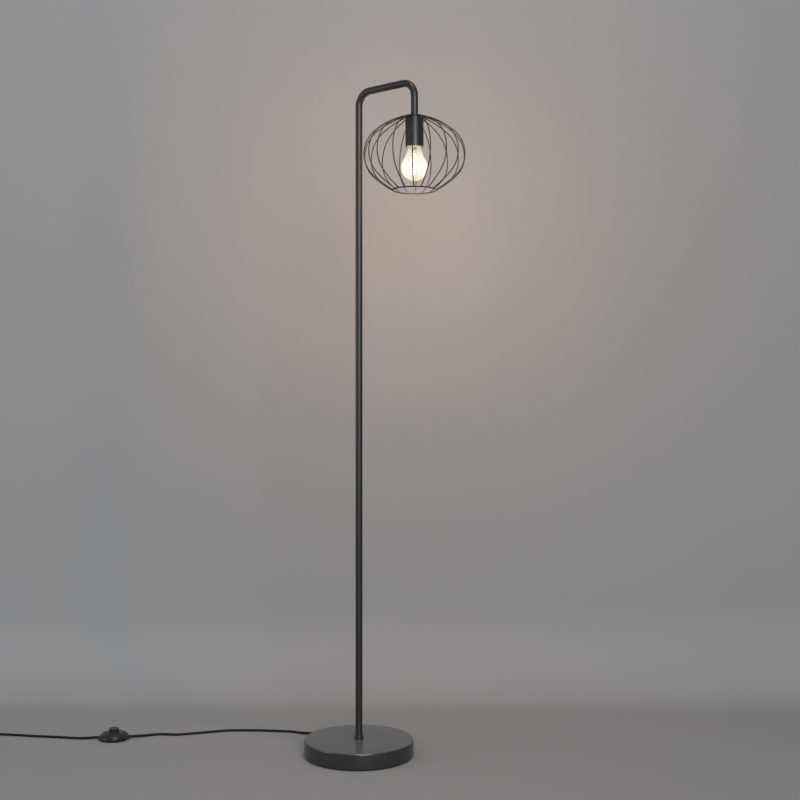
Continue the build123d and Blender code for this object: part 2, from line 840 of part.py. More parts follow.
# ---------------------------------------------------------------- every piece
def pieces():
    made = {
        "base_shell": base_shell(),
        "base_weight": base_weight(),
        "foot_pad": foot_pad(),
        "base_washer": base_washer(),
        "base_nut": base_nut(),
        "base_pipe": base_pipe(),
        "pole_collar": pole_collar(),
        "cord_relief": cord_relief(),
        "inner_cable": inner_cable(),
        "pole_foot_insert": pole_insert(base_h),
        "pole_lower": pole_lower(),
        "pole_joint": pole_joint(),
        "pole_upper": pole_upper(),
        "arm_insert": lamp * pole_insert(stack_z),
        "lamp_pipe": lamp_pipe(),
        "cage_disc": cage_disc(),
        "cage_ring": cage_ring(),
        "lampholder_cup": lampholder_cup(),
        "cup_nut": cup_nut(),
        "lampholder_cap": lampholder_cap(),
        "lampholder_body": lampholder_body(),
        "thread_shell": thread_shell(),
        "centre_contact": centre_contact(),
        "terminal_screws": terminal_screws(),
        "bulb_glass": bulb_glass(),
        "bulb_cap": bulb_cap(),
        "bulb_insulator": bulb_insulator(),
        "bulb_contact": bulb_contact(),
        "bulb_stem": bulb_stem(),
        "bulb_filaments": bulb_filaments(),
        "switch_base": switch_base(),
        "switch_cover": switch_cover(),
        "switch_block": switch_block(),
        "switch_screws": switch_screws(),
        "switch_spring": switch_spring(),
        "switch_button": switch_button(),
        "plug_body": plug_body(),
        "plug_pins": plug_pins(),
    }
    for number, group in enumerate(cage_ribs(), 1):
        made[f"cage_ribs_{number}"] = group
    made["cord_base_run"], first = cord_tube("cord_base_run", base_run_points())
    made["cord_switch_run"], second = cord_tube("cord_switch_run", switch_run_points())
    made["cord_coil"], coiled = cord_coil()
    made["cord_tail"], tail = cord_tube("cord_tail", tail_points()[0])
    print(f"cord from the foot to the plug: {first + block_l + second + coiled + tail:.0f}")
    return made


os.makedirs("parts", exist_ok=True)
for name, shape in pieces().items():
    export_step(shape, f"parts/{name}.step")
print("pieces written")
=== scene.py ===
from math import atan2, cos, degrees, pi, radians, sin, sqrt

import bmesh
import bpy
from mathutils import Matrix, Vector


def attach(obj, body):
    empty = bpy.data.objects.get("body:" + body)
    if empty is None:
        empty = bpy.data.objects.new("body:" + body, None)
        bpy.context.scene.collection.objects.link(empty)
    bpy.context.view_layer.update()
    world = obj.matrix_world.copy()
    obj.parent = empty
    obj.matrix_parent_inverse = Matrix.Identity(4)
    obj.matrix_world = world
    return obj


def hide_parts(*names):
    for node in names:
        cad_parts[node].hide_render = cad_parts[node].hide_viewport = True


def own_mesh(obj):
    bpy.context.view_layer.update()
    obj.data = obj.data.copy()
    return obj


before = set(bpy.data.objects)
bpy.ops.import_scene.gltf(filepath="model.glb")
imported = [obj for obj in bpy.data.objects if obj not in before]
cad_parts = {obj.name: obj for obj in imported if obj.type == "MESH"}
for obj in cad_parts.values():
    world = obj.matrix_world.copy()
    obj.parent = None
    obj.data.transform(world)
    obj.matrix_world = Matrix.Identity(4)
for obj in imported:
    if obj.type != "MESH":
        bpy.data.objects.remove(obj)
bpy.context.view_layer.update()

mm = 0.001

# -------- sizes of the lamp
HEIGHT = 1520 * mm
ARM_REACH = 165 * mm
ARM_DROP = 84.5 * mm
TUBE_R = 8 * mm
TUBE_WALL = 1.2 * mm
TUBE_CHAMFER = 0.45 * mm
BEND_R = 32 * mm
SEAM_Z = 1157 * mm
ARM_Z = HEIGHT - TUBE_R
TUBE_END_Z = HEIGHT - ARM_DROP

FOOT_R = 125 * mm
FOOT_H = 38 * mm
FOOT_EDGE = 3 * mm
COVER_WALL = 1.5 * mm
MAT_T = 4 * mm
MAT_R = FOOT_R - 3 * mm
COLLAR_R = 10 * mm
COLLAR_H = 9 * mm
PIPE_R = 5 * mm
SLIP = 0.1 * mm

LAMP = Vector((ARM_REACH, 0, 0))
DISC_R = 21 * mm
DISC_T = 2.5 * mm
CAGE_Z = TUBE_END_Z - DISC_T / 2
RIBS = 18
RIB_GROUPS = 6
FIRST_RIB = 7.5
RIB_R = 1.2 * mm
RIB_FALL = 14
RIB_RISE = 29
RIB_STRAYS = {1: 5, 5: 2.5, 8: 3, 9: 3, 10: 3, 13: -3.5, 14: -2}
CAGE_R = 112.5 * mm
CAGE_WIDEST_DROP = 85 * mm
CAGE_H = 161.5 * mm
RING_R = 47.5 * mm
RING_WIRE_R = 1.5 * mm
RING_Z = CAGE_Z - CAGE_H

CUP_R = 20 * mm
CUP_H = 66 * mm
CUP_WALL = 1 * mm
CUP_TOP = TUBE_END_Z - DISC_T
CUP_MOUTH = CUP_TOP - CUP_H
HOLDER_R = 18.5 * mm
HOLDER_MOUTH = CUP_MOUTH + 1.5 * mm
SOCKET_R = 13.9 * mm
SOCKET_TOP = HOLDER_MOUTH + 29 * mm
SOCKET_FLOOR = 4 * mm
THREAD_PITCH = 3.6 * mm

BULB_R = 30 * mm
BULB_L = 105 * mm
BULB_NECK_R = 13.5 * mm
BULB_WALL = 0.8 * mm
BULB_TOP = SOCKET_TOP - 0.3 * mm
BULB_CAP_R = 13.1 * mm
BULB_CAP_TOP = BULB_TOP - 5 * mm
BULB_CAP_MOUTH = BULB_CAP_TOP - 22 * mm
BULB_Z = BULB_TOP - BULB_L + BULB_R

CORD_R = 2.9 * mm
BUSH_L = 24 * mm
CORD_EXIT_Z = 11.5 * mm
EXIT_WAY = Vector((cos(radians(165)), sin(radians(165)), 0))
EXIT = EXIT_WAY * (FOOT_R + BUSH_L) + Vector((0, 0, CORD_EXIT_Z))
SWITCH = Vector((-537, -281, 0)) * mm
SWITCH_AXIS = 47.5
SWITCH_R = 36 * mm
SWITCH_H = 17 * mm
SWITCH_CORD_Z = 5.2 * mm
BUTTON_R = 11.75 * mm
BUTTON_TOP = 26.5 * mm
SPRING_FOOT = 8.2 * mm
SPRING_TOP = 23 * mm
PLUG_T = 13.6 * mm
SLEEVE_L = 24 * mm
PLUG_L = 35 * mm


# -------- camera
VIEW_TURN = radians(40.5)
bpy.ops.object.select_all(action="DESELECT")
bpy.ops.object.camera_add(location=(1.898, -2.078, 0.8114), rotation=(radians(90), 0, VIEW_TURN))
camera = bpy.context.object
camera.name = "camera"
camera.data.sensor_width = 36
camera.data.lens = 55.415
camera.data.clip_end = 60
bpy.context.scene.camera = camera
bpy.context.scene.view_settings.view_transform = "Standard"


# -------- nodes
def feed(tree, socket, source):
    """Gives a socket a value, or links it to another node's output."""
    if isinstance(source, bpy.types.NodeSocket):
        tree.links.new(source, socket)
    else:
        socket.default_value = source


def put(tree, kind, *sources, **settings):
    """A node. A setting with a capital is an input socket, and sources feed its first sockets in order."""
    made = tree.nodes.new(kind)
    for label, value in settings.items():
        if label[0].isupper():
            feed(tree, made.inputs[label.replace("_", " ")], value)
        else:
            setattr(made, label, value)
    for socket, source in zip(made.inputs, sources):
        feed(tree, socket, source)
    return made


def maths(tree, operation, first, second, **settings):
    return put(tree, "ShaderNodeMath", first, second, operation=operation, **settings).outputs[0]


def noise(tree, place, scale, detail, roughness=0.5):
    made = put(tree, "ShaderNodeTexNoise", Vector=place, Scale=scale, Detail=detail, Roughness=roughness)
    return made.outputs["Fac"]


def swing(tree, pattern, amount):
    """A pattern of 0 to 1 as a swing to either side of nothing."""
    return maths(tree, "MULTIPLY", maths(tree, "SUBTRACT", pattern, 0.5), amount)


def share(tree, value, low, high):
    """How far a value has come on its way from low to high."""
    return put(tree, "ShaderNodeMapRange", clamp=True, Value=value, From_Min=low, From_Max=high).outputs[0]


def mixed(tree, amount, first, second, kind="RGBA"):
    """Two colours, or two values, mixed by an amount."""
    made = put(tree, "ShaderNodeMix", amount, data_type=kind)
    one, other, out = (6, 7, 2) if kind == "RGBA" else (2, 3, 0)
    feed(tree, made.inputs[one], first)
    feed(tree, made.inputs[other], second)
    return made.outputs[out]


def bump(tree, height, strength, depth, **under):
    """The normal of a surface with a pattern in it, so many mm deep."""
    made = put(tree, "ShaderNodeBump", Strength=strength, Distance=depth * mm, Height=height, **under)
    return made.outputs["Normal"]


def ramp(tree, along, first, last, *between):
    """A run of colours from the first to the last, with others at their shares of the way."""
    made = put(tree, "ShaderNodeValToRGB", along)
    made.color_ramp.elements[0].color = (*first, 1)
    made.color_ramp.elements[1].color = (*last, 1)
    for spot, colour in between:
        made.color_ramp.elements.new(spot).color = (*colour, 1)
    return made.outputs["Color"]


# -------- effects shared by the finishes
def effect(name, output, **inputs):
    """An empty node group that reads a place and what inputs names: the group, its inputs and its output."""
    group = bpy.data.node_groups.new(name, "ShaderNodeTree")
    group.interface.new_socket("Vector", in_out="INPUT", socket_type="NodeSocketVector")
    for label, value in inputs.items():
        kind = "NodeSocketColor" if isinstance(value, tuple) else "NodeSocketFloat"
        group.interface.new_socket(label, in_out="INPUT", socket_type=kind).default_value = value
    kind = "NodeSocketColor" if output == "Color" else "NodeSocketFloat"
    group.interface.new_socket(output, in_out="OUTPUT", socket_type=kind)
    return group, group.nodes.new("NodeGroupInput").outputs, group.nodes.new("NodeGroupOutput").inputs[0]


def tone_drift_effect():
    """A colour that drifts a little lighter and darker over the surface."""
    group, given, out = effect("tone drift", "Color", Color=(0.5, 0.5, 0.5, 1), Drift=0.1, Scale=20.0)
    clouds = noise(group, given["Vector"], given["Scale"], 4.0, 0.6)
    lift = maths(group, "ADD", swing(group, clouds, given["Drift"]), 1.0)
    shifted = put(group, "ShaderNodeVectorMath", given["Color"], operation="SCALE", Scale=lift)
    feed(group, out, shifted.outputs[0])
    return group


def sheen_drift_effect():
    """Roughness with handled and cloudy patches."""
    group, given, out = effect("sheen drift", "Roughness", Roughness=0.5, Drift=0.1, Scale=30.0)
    patches = swing(group, noise(group, given["Vector"], given["Scale"], 5.0, 0.65), given["Drift"])
    feed(group, out, maths(group, "ADD", patches, given["Roughness"], use_clamp=True))
    return group


def grain_effect():
    """Height of a fine surface: soft waves with small pits between them."""
    group, given, out = effect("grain", "Height", Scale=1500.0, Pits=0.4)
    waves = noise(group, given["Vector"], given["Scale"], 3.0, 0.55)
    cells = put(group, "ShaderNodeTexVoronoi", feature="SMOOTH_F1", Vector=given["Vector"], Scale=given["Scale"],
                Smoothness=0.6)
    feed(group, out, mixed(group, given["Pits"], waves, cells.outputs["Distance"], "FLOAT"))
    return group


def dust_and_sheen_effect():
    """Fine dust, patchy, on what faces up; laid on thick, it is a painted sheen that makes the tops lighter, as a
    grazing light does.
    """
    group, given, out = effect("settled dust", "Color", Color=(0, 0, 0, 1), Dust=(0.385, 0.395, 0.41, 1), Amount=0.1)
    normal = put(group, "ShaderNodeNewGeometry").outputs["Normal"]
    upward = share(group, put(group, "ShaderNodeSeparateXYZ", normal).outputs["Z"], 0.55, 1.0)
    patchy = share(group, noise(group, given["Vector"], 60.0, 8.0, 0.7), -0.6, 1.0)
    mask = maths(group, "MULTIPLY", maths(group, "MULTIPLY", upward, patchy), given["Amount"])
    feed(group, out, mixed(group, mask, given["Color"], given["Dust"]))
    return group


def tarnish_effect():
    """Bare metal with duller, browner blotches."""
    group, given, out = effect("tarnish", "Color", Color=(0.8, 0.8, 0.8, 1), Tarnish=(0.3, 0.25, 0.2, 1), Amount=0.3,
                               Scale=120.0)
    blotches = share(group, noise(group, given["Vector"], given["Scale"], 6.0, 0.7), 0.45, 0.75)
    mask = maths(group, "MULTIPLY", blotches, given["Amount"])
    feed(group, out, mixed(group, mask, given["Color"], given["Tarnish"]))
    return group


TONE_DRIFT = tone_drift_effect()
SHEEN_DRIFT = sheen_drift_effect()
GRAIN = grain_effect()
DUST_AND_SHEEN = dust_and_sheen_effect()
TARNISH = tarnish_effect()


# -------- finishes
def use(tree, group, **settings):
    """What a shared effect gives in a material, with the material's own values."""
    return put(tree, "ShaderNodeGroup", node_tree=group, **settings).outputs[0]


def blank(name, shown=(0.8, 0.8, 0.8, 1)):
    """A new material with its nodes and the place on the piece."""
    material = bpy.data.materials.new(name)
    material.use_nodes = True
    material.diffuse_color = shown
    return material, material.node_tree, put(material.node_tree, "ShaderNodeTexCoord").outputs["Object"]


def dress(tree, **settings):
    """Sets or links the sockets of a material's own shader."""
    for label, value in settings.items():
        feed(tree, tree.nodes["Principled BSDF"].inputs[label.replace("_", " ")], value)


def finish(name, colour, roughness, metal=0.0, drift=(0.12, 25), patches=(0.1, 40), grain=(1500, 0.4, 0.02),
           dust_and_sheen=0.0, tarnish=None, gloss=0.5, relief=None):
    """A solid finish: drifting tone and sheen, fine grain, and dust with a painted sheen on the tops, tarnish or a
    second relief where it has them.

    drift and patches are (amount, scale), grain is (scale, pits, depth in mm)."""
    material, tree, place = blank(name, (*colour, 1))
    tone = use(tree, TONE_DRIFT, Vector=place, Color=(*colour, 1), Drift=drift[0], Scale=drift[1])
    if tarnish:
        dull, amount, scale = tarnish
        tone = use(tree, TARNISH, Vector=place, Color=tone, Tarnish=(*dull, 1), Amount=amount, Scale=scale)
    # Dust lightens what faces up; in large amounts it is a painted sheen on the tops.
    if dust_and_sheen:
        tone = use(tree, DUST_AND_SHEEN, Vector=place, Color=tone, Amount=dust_and_sheen)
    sheen = use(tree, SHEEN_DRIFT, Vector=place, Roughness=roughness, Drift=patches[0], Scale=patches[1])
    surface = use(tree, GRAIN, Vector=place, Scale=grain[0], Pits=grain[1])
    normal = bump(tree, surface, 0.6, grain[2])
    if relief:
        kind, look, strength, depth = relief
        pattern = put(tree, kind, Vector=place, **look).outputs["Fac"]
        normal = bump(tree, pattern, strength, depth, Normal=normal)
    dress(tree, Base_Color=tone, Roughness=sheen, Normal=normal, Metallic=metal, Specular_IOR_Level=gloss)
    return material


def powder_coat(name, colour, dust_and_sheen, roughness=0.38, gloss=0.55):
    """Black powder coat: an even orange peel with a fine grit in it."""
    grit = ("ShaderNodeTexNoise", {"Scale": 4200.0, "Detail": 2.0}, 0.35, 0.015)
    return finish(name, colour, roughness, drift=(0.16, 14), patches=(0.10, 22), grain=(900, 0.35, 0.05), dust_and_sheen=dust_and_sheen,
                  gloss=gloss, relief=grit)


def turned_metal(name, colour, roughness, lines, tarnish):
    """Rolled or turned metal with fine rings round its axis."""
    look = {"wave_type": "BANDS", "bands_direction": "Z", "Scale": lines, "Distortion": 0.6, "Detail": 2.0}
    return finish(name, colour, roughness, metal=1.0, drift=(0.08, 60), patches=(0.16, 90), grain=(2500, 0.2, 0.006),
                  tarnish=tarnish, relief=("ShaderNodeTexWave", look, 0.3, 0.01))


def lit_glass():
    """Clear bulb glass with a glow painted into it, as if lit from inside: brightest round the filaments, dimmer at its
    tip and in its neck.
    """
    material, tree, place = blank("lit bulb glass", (1, 0.95, 0.85, 0.4))
    height = put(tree, "ShaderNodeSeparateXYZ", place).outputs["Z"]
    glow = ramp(tree, share(tree, height, BULB_Z - BULB_R, HOLDER_MOUTH), (0.66, 0.52, 0.38), (0.38, 0.31, 0.23),
                (0.18, (0.94, 0.84, 0.70)), (0.42, (1.0, 0.94, 0.85)), (0.72, (0.88, 0.80, 0.68)))
    dress(tree, Emission_Color=glow, Emission_Strength=0.185, Base_Color=(1, 0.985, 0.95, 1),
          Roughness=use(tree, SHEEN_DRIFT, Vector=place, Roughness=0.015, Drift=0.02, Scale=60.0),
          Normal=bump(tree, noise(tree, place, 90.0, 3.0), 0.25, 0.05), Transmission_Weight=1.0, IOR=1.47)
    return material


def stem_glass():
    """Thicker, slightly milky glass of the stem."""
    material, tree, place = blank("stem glass", (0.95, 0.95, 0.92, 0.5))
    dress(tree, Base_Color=(0.96, 0.97, 0.95, 1), Transmission_Weight=1.0, IOR=1.5,
          Roughness=use(tree, SHEEN_DRIFT, Vector=place, Roughness=0.08, Drift=0.12, Scale=120.0),
          Normal=bump(tree, noise(tree, place, 160.0, 4.0), 0.4, 0.08))
    return material


def lit_filament():
    """Glowing coated rod, with its colour a little uneven."""
    material, tree, place = blank("glowing filament", (1, 0.78, 0.42, 1))
    beads = noise(tree, place, 900.0, 2.0)
    warm = ramp(tree, beads, (1.0, 0.62, 0.24), (1.0, 0.84, 0.52))
    dress(tree, Emission_Color=warm, Emission_Strength=7.0, Base_Color=warm, Roughness=0.6,
          Normal=bump(tree, beads, 0.4, 0.05))
    return material


FINISHES = {
    "black_coat": powder_coat("black powder coat", (0.012, 0.012, 0.013), 0.04),
    "cement": finish("cast cement", (0.42, 0.41, 0.40), 0.9, drift=(0.5, 30), grain=(500, 0.6, 0.4)),
    "pad_rubber": finish("foam mat", (0.012, 0.012, 0.012), 0.85, drift=(0.3, 50), grain=(700, 0.9, 0.25)),
    "zinc_steel": turned_metal("zinc plated steel", (0.62, 0.62, 0.60), 0.36, 400, ((0.42, 0.42, 0.44), 0.5, 150)),
    "cord_black": finish("cord sheath", (0.004, 0.004, 0.0042), 0.5, drift=(0.2, 12), patches=(0.12, 16),
                         grain=(1400, 0.2, 0.03), gloss=0.2),
    "relief_rubber": finish("soft rubber", (0.022, 0.022, 0.022), 0.58, drift=(0.2, 40), grain=(1100, 0.5, 0.05),
                            dust_and_sheen=0.05),
    "holder_plastic": finish("moulded resin", (0.016, 0.0155, 0.015), 0.45, drift=(0.25, 90),
                             grain=(1300, 0.4, 0.04)),
    "contact_brass": turned_metal("brass", (0.78, 0.58, 0.27), 0.28, 500, ((0.36, 0.24, 0.12), 0.45, 130)),
    "bulb_glass": lit_glass(),
    "stem_glass": stem_glass(),
    "bulb_metal": turned_metal("rolled aluminium", (0.77, 0.77, 0.76), 0.30, 450, ((0.50, 0.50, 0.50), 0.35, 110)),
    "bulb_insulator": finish("black cap glass", (0.020, 0.020, 0.022), 0.14, drift=(0.3, 120),
                             grain=(400, 0.3, 0.05)),
    "filament": lit_filament(),
    "switch_plastic": finish("glossy switch plastic", (0.014, 0.014, 0.015), 0.27, drift=(0.2, 40),
                             patches=(0.08, 60), grain=(800, 0.3, 0.02), dust_and_sheen=0.05, gloss=0.38),
    "block_plastic": finish("ivory plastic", (0.60, 0.58, 0.52), 0.45, drift=(0.1, 60), grain=(1000, 0.3, 0.03)),
    "plug_plastic": finish("matt plug plastic", (0.024, 0.024, 0.025), 0.48, drift=(0.2, 50), patches=(0.1, 60),
                           grain=(1500, 0.6, 0.05), dust_and_sheen=0.04),
    "pin_metal": turned_metal("nickel plated brass", (0.78, 0.73, 0.62), 0.22, 500, ((0.55, 0.50, 0.42), 0.4, 160)),
}
# The foot's dust amount is mostly a painted sheen: its top is made lighter, as a grazing light makes it.
FOOT_COAT = powder_coat("powder coat of the foot", (0.014, 0.0142, 0.015), 0.32, 0.22, 1.0)


# -------- working by hand
def up(height):
    return Vector((0, 0, height))


def only(piece):
    """Selects one piece and nothing else."""
    bpy.ops.object.select_all(action="DESELECT")
    bpy.context.view_layer.objects.active = piece
    piece.select_set(True)


def settle():
    """Puts the place, turn and size of what is selected into its mesh."""
    bpy.ops.object.transform_apply(location=True, rotation=True, scale=True)


def begin(name, primitive, **settings):
    """Adds a primitive with nothing else selected, names it and opens it, all selected."""
    bpy.ops.object.select_all(action="DESELECT")
    getattr(bpy.ops.mesh, f"primitive_{primitive}_add")(**settings)
    piece = bpy.context.object
    piece.name = piece.data.name = name
    settle()
    bpy.ops.object.mode_set(mode="EDIT")
    bpy.ops.mesh.select_all(action="SELECT")
    return piece


def open_up(piece):
    only(piece)
    bpy.ops.object.mode_set(mode="EDIT")


def pick(kind, test):
    """Selects only those points, edges or faces of the open piece that pass the test."""
    bpy.ops.mesh.select_mode(type={"verts": "VERT", "edges": "EDGE", "faces": "FACE"}[kind])
    bpy.ops.mesh.select_all(action="DESELECT")
    shape = bmesh.from_edit_mesh(bpy.context.object.data)
    for one in getattr(shape, kind):
        if test(one):
            one.select_set(True)
    shape.select_flush_mode()
    bmesh.update_edit_mesh(bpy.context.object.data)


def close_up():
    """Welds doubles, turns the faces outwards and leaves edit mode."""
    bpy.ops.mesh.select_mode(type="VERT")
    bpy.ops.mesh.select_all(action="SELECT")
    bpy.ops.mesh.remove_doubles(threshold=0.005 * mm)
    bpy.ops.mesh.normals_make_consistent(inside=False)
    bpy.ops.object.mode_set(mode="OBJECT")


def draw(way, solid=False):
    """Draws the selected edges out, or on a solid piece the selected face."""
    extrude = bpy.ops.mesh.extrude_region_move if solid else bpy.ops.mesh.extrude_edges_move
    extrude(TRANSFORM_OT_translate={"value": way})


def bend(steps, centre, angle=-90, axis=(0, 1, 0)):
    """Draws the selection round a bend; the angle is left-handed about the axis."""
    bpy.ops.mesh.spin(steps=steps, angle=radians(angle), center=centre, axis=axis)


def stretch(size, centre):
    bpy.ops.transform.resize(value=size, center_override=centre)


def apply_modifier(piece, kind, **settings):
    only(piece)
    step = piece.modifiers.new(kind.title(), kind)
    for label, value in settings.items():
        setattr(step, label, value)
    bpy.ops.object.modifier_apply(modifier=step.name)


def smooth(piece, angle=35):
    only(piece)
    bpy.ops.object.shade_smooth_by_angle(angle=radians(angle))


def round_edges(piece, width, segments=3, angle=35):
    """Rounds every sharp edge a little, with flat faces left flat."""
    smooth(piece, angle)
    apply_modifier(piece, "BEVEL", width=width, segments=segments, limit_method="ANGLE", angle_limit=radians(angle),
                   harden_normals=True, use_clamp_overlap=True)


def thicken(piece, wall):
    """Gives an open skin its wall, inwards."""
    apply_modifier(piece, "SOLIDIFY", thickness=wall, offset=-1, use_even_offset=True, use_rim=True)


def ring(name, radius, place, way, sides, filled=False):
    """Begins a piece as a ring round a way, open or filled."""
    return begin(name, "circle", vertices=sides, radius=radius, fill_type="NGON" if filled else "NOTHING",
                 location=place, rotation=way.to_track_quat("Z", "Y").to_euler())


def draw_through(outline, foot=Vector(), way=up(1), solid=False):
    """Draws a ring on from the first (radius, distance) step of an outline through the others."""
    radius, along = outline[0]
    for wider, further in outline[1:]:
        draw(way * (further - along), solid)
        if wider == 0:
            bpy.ops.mesh.merge(type="CENTER")
        elif wider != radius:
            stretch((wider / radius,) * 3, foot + way * further)
        radius, along = wider, further


def turned(name, outline, foot=(0, 0, 0), way=(0, 0, 1), sides=64, solid=False):
    """A turned piece: a ring drawn out along its axis through (radius, distance) steps. A solid one has closed ends."""
    foot, way = Vector(foot), Vector(way).normalized()
    radius, along = outline[0]
    piece = ring(name, radius, foot + way * along, way, sides, solid)
    draw_through(outline, foot, way, solid)
    close_up()
    return piece


def pressed(name, outline, edge, segments, wall, foot=(0, 0, 0), sides=96):
    """A pressed cover: a turned skin with its upper rim, the second step of the outline, rounded, and a wall."""
    rim_r, rim_z = outline[1]
    middle = Vector(foot).xy
    piece = turned(name, outline, foot, sides=sides)
    open_up(piece)
    edge_reach = rim_r - 0.1 * mm
    pick("edges", lambda e: all(abs(v.co.z - rim_z) < 0.001 * mm and (v.co.xy - middle).length > edge_reach
                                for v in e.verts))
    bpy.ops.mesh.bevel(offset=edge, segments=segments, profile=0.5)
    close_up()
    smooth(piece)
    thicken(piece, wall)
    return piece


def steps_at(radius, height, *offsets):
    """Steps of an outline, each so many mm out and up from a place."""
    return [(radius + out * mm, height + rise * mm) for out, rise in offsets]


def arc_steps(middle_r, middle_z, radius, first, last, count):
    """Steps round an arc of the outline; angles from the outward direction, in degrees."""
    turns = [radians(first + (last - first) * k / count) for k in range(count + 1)]
    return [(middle_r + radius * cos(turn), middle_z + radius * sin(turn)) for turn in turns]


def arc_through(a, b, c, count):
    """Steps along the arc through three points of the outline."""
    (ax, az), (bx, bz), (cx, cz) = a, b, c
    a2, b2, c2 = ax**2 + az**2, bx**2 + bz**2, cx**2 + cz**2
    d = 2 * (ax * (bz - cz) + bx * (cz - az) + cx * (az - bz))
    mx = (a2 * (bz - cz) + b2 * (cz - az) + c2 * (az - bz)) / d
    mz = (a2 * (cx - bx) + b2 * (ax - cx) + c2 * (bx - ax)) / d
    first, last = degrees(atan2(az - mz, ax - mx)), degrees(atan2(cz - mz, cx - mx))
    return arc_steps(mx, mz, sqrt((ax - mx) ** 2 + (az - mz) ** 2), first, last, count)


def two_arcs(start, start_way, end, end_way):
    """Two tangent arcs from start to end in the XZ plane: start, way and end of each."""
    start, end, start_way, end_way = (Vector((p[0], 0, p[1])) for p in (start, end, start_way, end_way))
    start_way.normalize()
    end_way.normalize()
    chord, both = end - start, start_way + end_way
    fold = 2 * (1 - start_way.dot(end_way))
    along = chord.dot(both)
    reach = (sqrt(along**2 + fold * chord.dot(chord)) - along) / fold
    middle = (start + end + (start_way - end_way) * reach) * 0.5
    middle_way = ((end - end_way * reach) - (start + start_way * reach)).normalized()
    return [(start, start_way, middle), (middle, middle_way, end)]


def bow(start, way, end):
    """Centre and angle of the arc that leaves start along way and ends at end, as spin wants them."""
    chord = end - start
    side = Vector((way.z, 0, -way.x))
    reach = chord.length_squared / (2 * chord.dot(side))
    return start + side * reach, -2 * atan2(chord.dot(side), chord.dot(way))


def arc_points(start, way, end, count):
    """The same arc as outline points of (distance from the axis, height)."""
    centre, angle = bow(start, way, end)
    spokes = [Matrix.Rotation(-angle * k / count, 3, "Y") @ (start - centre) for k in range(1, count + 1)]
    return [(centre.x + spoke.x, centre.z + spoke.z) for spoke in spokes]


def copies(piece, count, step, name):
    """A modelled piece copied round the lamp's axis, each copy with its own mesh."""
    made = []
    for k in range(count):
        only(piece)
        bpy.ops.object.duplicate(linked=False)
        one = bpy.context.object
        one.name = one.data.name = f"{name}_{k + 1}"
        bpy.ops.transform.rotate(value=-radians(step(k)), orient_axis="Z", center_override=LAMP)
        settle()
        made.append(one)
    bpy.data.objects.remove(piece)
    return made


def joined(name, pieces):
    """Several pieces as one."""
    only(pieces[0])
    for one in pieces:
        one.select_set(True)
    bpy.ops.object.join()
    piece = bpy.context.object
    piece.name = piece.data.name = name
    return piece


def cut(piece, cutter):
    """Cuts one piece with another, which is then gone."""
    apply_modifier(piece, "BOOLEAN", operation="DIFFERENCE", object=cutter, solver="EXACT")
    bpy.data.objects.remove(cutter)


def tube(name, points, radius, between, around):
    """A round cord or wire along a smooth line that follows its points."""
    line = bpy.data.curves.new(name, "CURVE")
    line.dimensions = "3D"
    run = line.splines.new("NURBS")
    run.points.add(len(points) - 1)
    for knot, place in zip(run.points, points):
        knot.co = (*place, 1)
    run.order_u = 3
    run.use_endpoint_u = True
    run.resolution_u = between
    line.bevel_depth = radius
    line.bevel_resolution = around
    line.use_fill_caps = True
    piece = bpy.data.objects.new(name, line)
    bpy.context.scene.collection.objects.link(piece)
    return piece


def fit(piece, slot, *nodes, body="lamp", look=None):
    """Gives a piece its finish, the body it rides on and the solids that it stands for."""
    piece.data.materials.clear()
    piece.data.materials.append(look or FINISHES[slot])
    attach(piece, body)
    if nodes:
        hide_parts(*nodes)
    return piece


# -------- foot
def foot_cover():
    """Pressed steel cover with a rolled top edge and the hole for the cord bush."""
    hole_r, hole_depth = 6 * mm, 6 * mm
    outline = [(FOOT_R, MAT_T), (FOOT_R, FOOT_H), (FOOT_R * 0.55, FOOT_H), (PIPE_R + SLIP, FOOT_H)]
    piece = pressed("foot_cover", outline, FOOT_EDGE, 7, COVER_WALL, sides=160)
    bore = [(hole_r, 0), (hole_r, 2 * hole_depth)]
    cut(piece, turned("bush_bore", bore, EXIT - EXIT_WAY * (BUSH_L + hole_depth), EXIT_WAY, solid=True))
    round_edges(piece, 0.35 * mm, 2)
    return fit(piece, "black_coat", "base_shell", look=FOOT_COAT)


def foot_mat():
    """Foam mat glued under the foot, with its cut edge a little rounded."""
    outline = steps_at(MAT_R, 0, (-14, 0), (-0.8, 0), (0, 0.8)) + [(MAT_R, MAT_T)]
    piece = turned("foot_mat", outline, sides=128, solid=True)
    round_edges(piece, 0.4 * mm, 2, 30)
    return fit(piece, "pad_rubber", "foot_pad")


def pole_collar():
    """Short collar that hides the joint of pole and foot, its top edge chamfered."""
    inner, top = TUBE_R + SLIP, FOOT_H + COLLAR_H
    outline = [(COLLAR_R, FOOT_H), *steps_at(COLLAR_R, top, (0, -1.2), (-1.2, 0)), (inner, top), (inner, FOOT_H)]
    piece = turned("pole_collar_cover", [*outline, outline[0]])
    round_edges(piece, 0.5 * mm, 3)
    return fit(piece, "black_coat", "pole_collar")


def cord_bush():
    """Moulded bush at the back of the foot, its sleeve grooved and tapered towards the cord."""
    bore, thick, thin = CORD_R + SLIP, 6, 4.1
    outline = [(bore, -3 * mm), *steps_at(0, 0, (5.8, -3), (5.8, 0), (6.4, 0), (7, 0.6), (6.9, 1.6), (6.1, 2.2))]
    grooves, first, last = 5, 3.6 * mm, 21 * mm
    for k in range(grooves):
        here = first + (last - first) * k / (grooves - 1)
        radius = thick * mm - (thick - thin) * mm * here / BUSH_L
        outline += steps_at(radius, here, (0, 0), (-0.8, 0.35), (-0.85, 1.1), (-0.12, 1.5))
    outline += [*steps_at(0, BUSH_L, (4, -0.4), (3.7, 0)), (bore, BUSH_L), (bore, -3 * mm)]
    piece = turned("cord_bush", outline, EXIT - EXIT_WAY * BUSH_L, EXIT_WAY, 48)
    smooth(piece, 50)
    return fit(piece, "relief_rubber", "cord_relief")


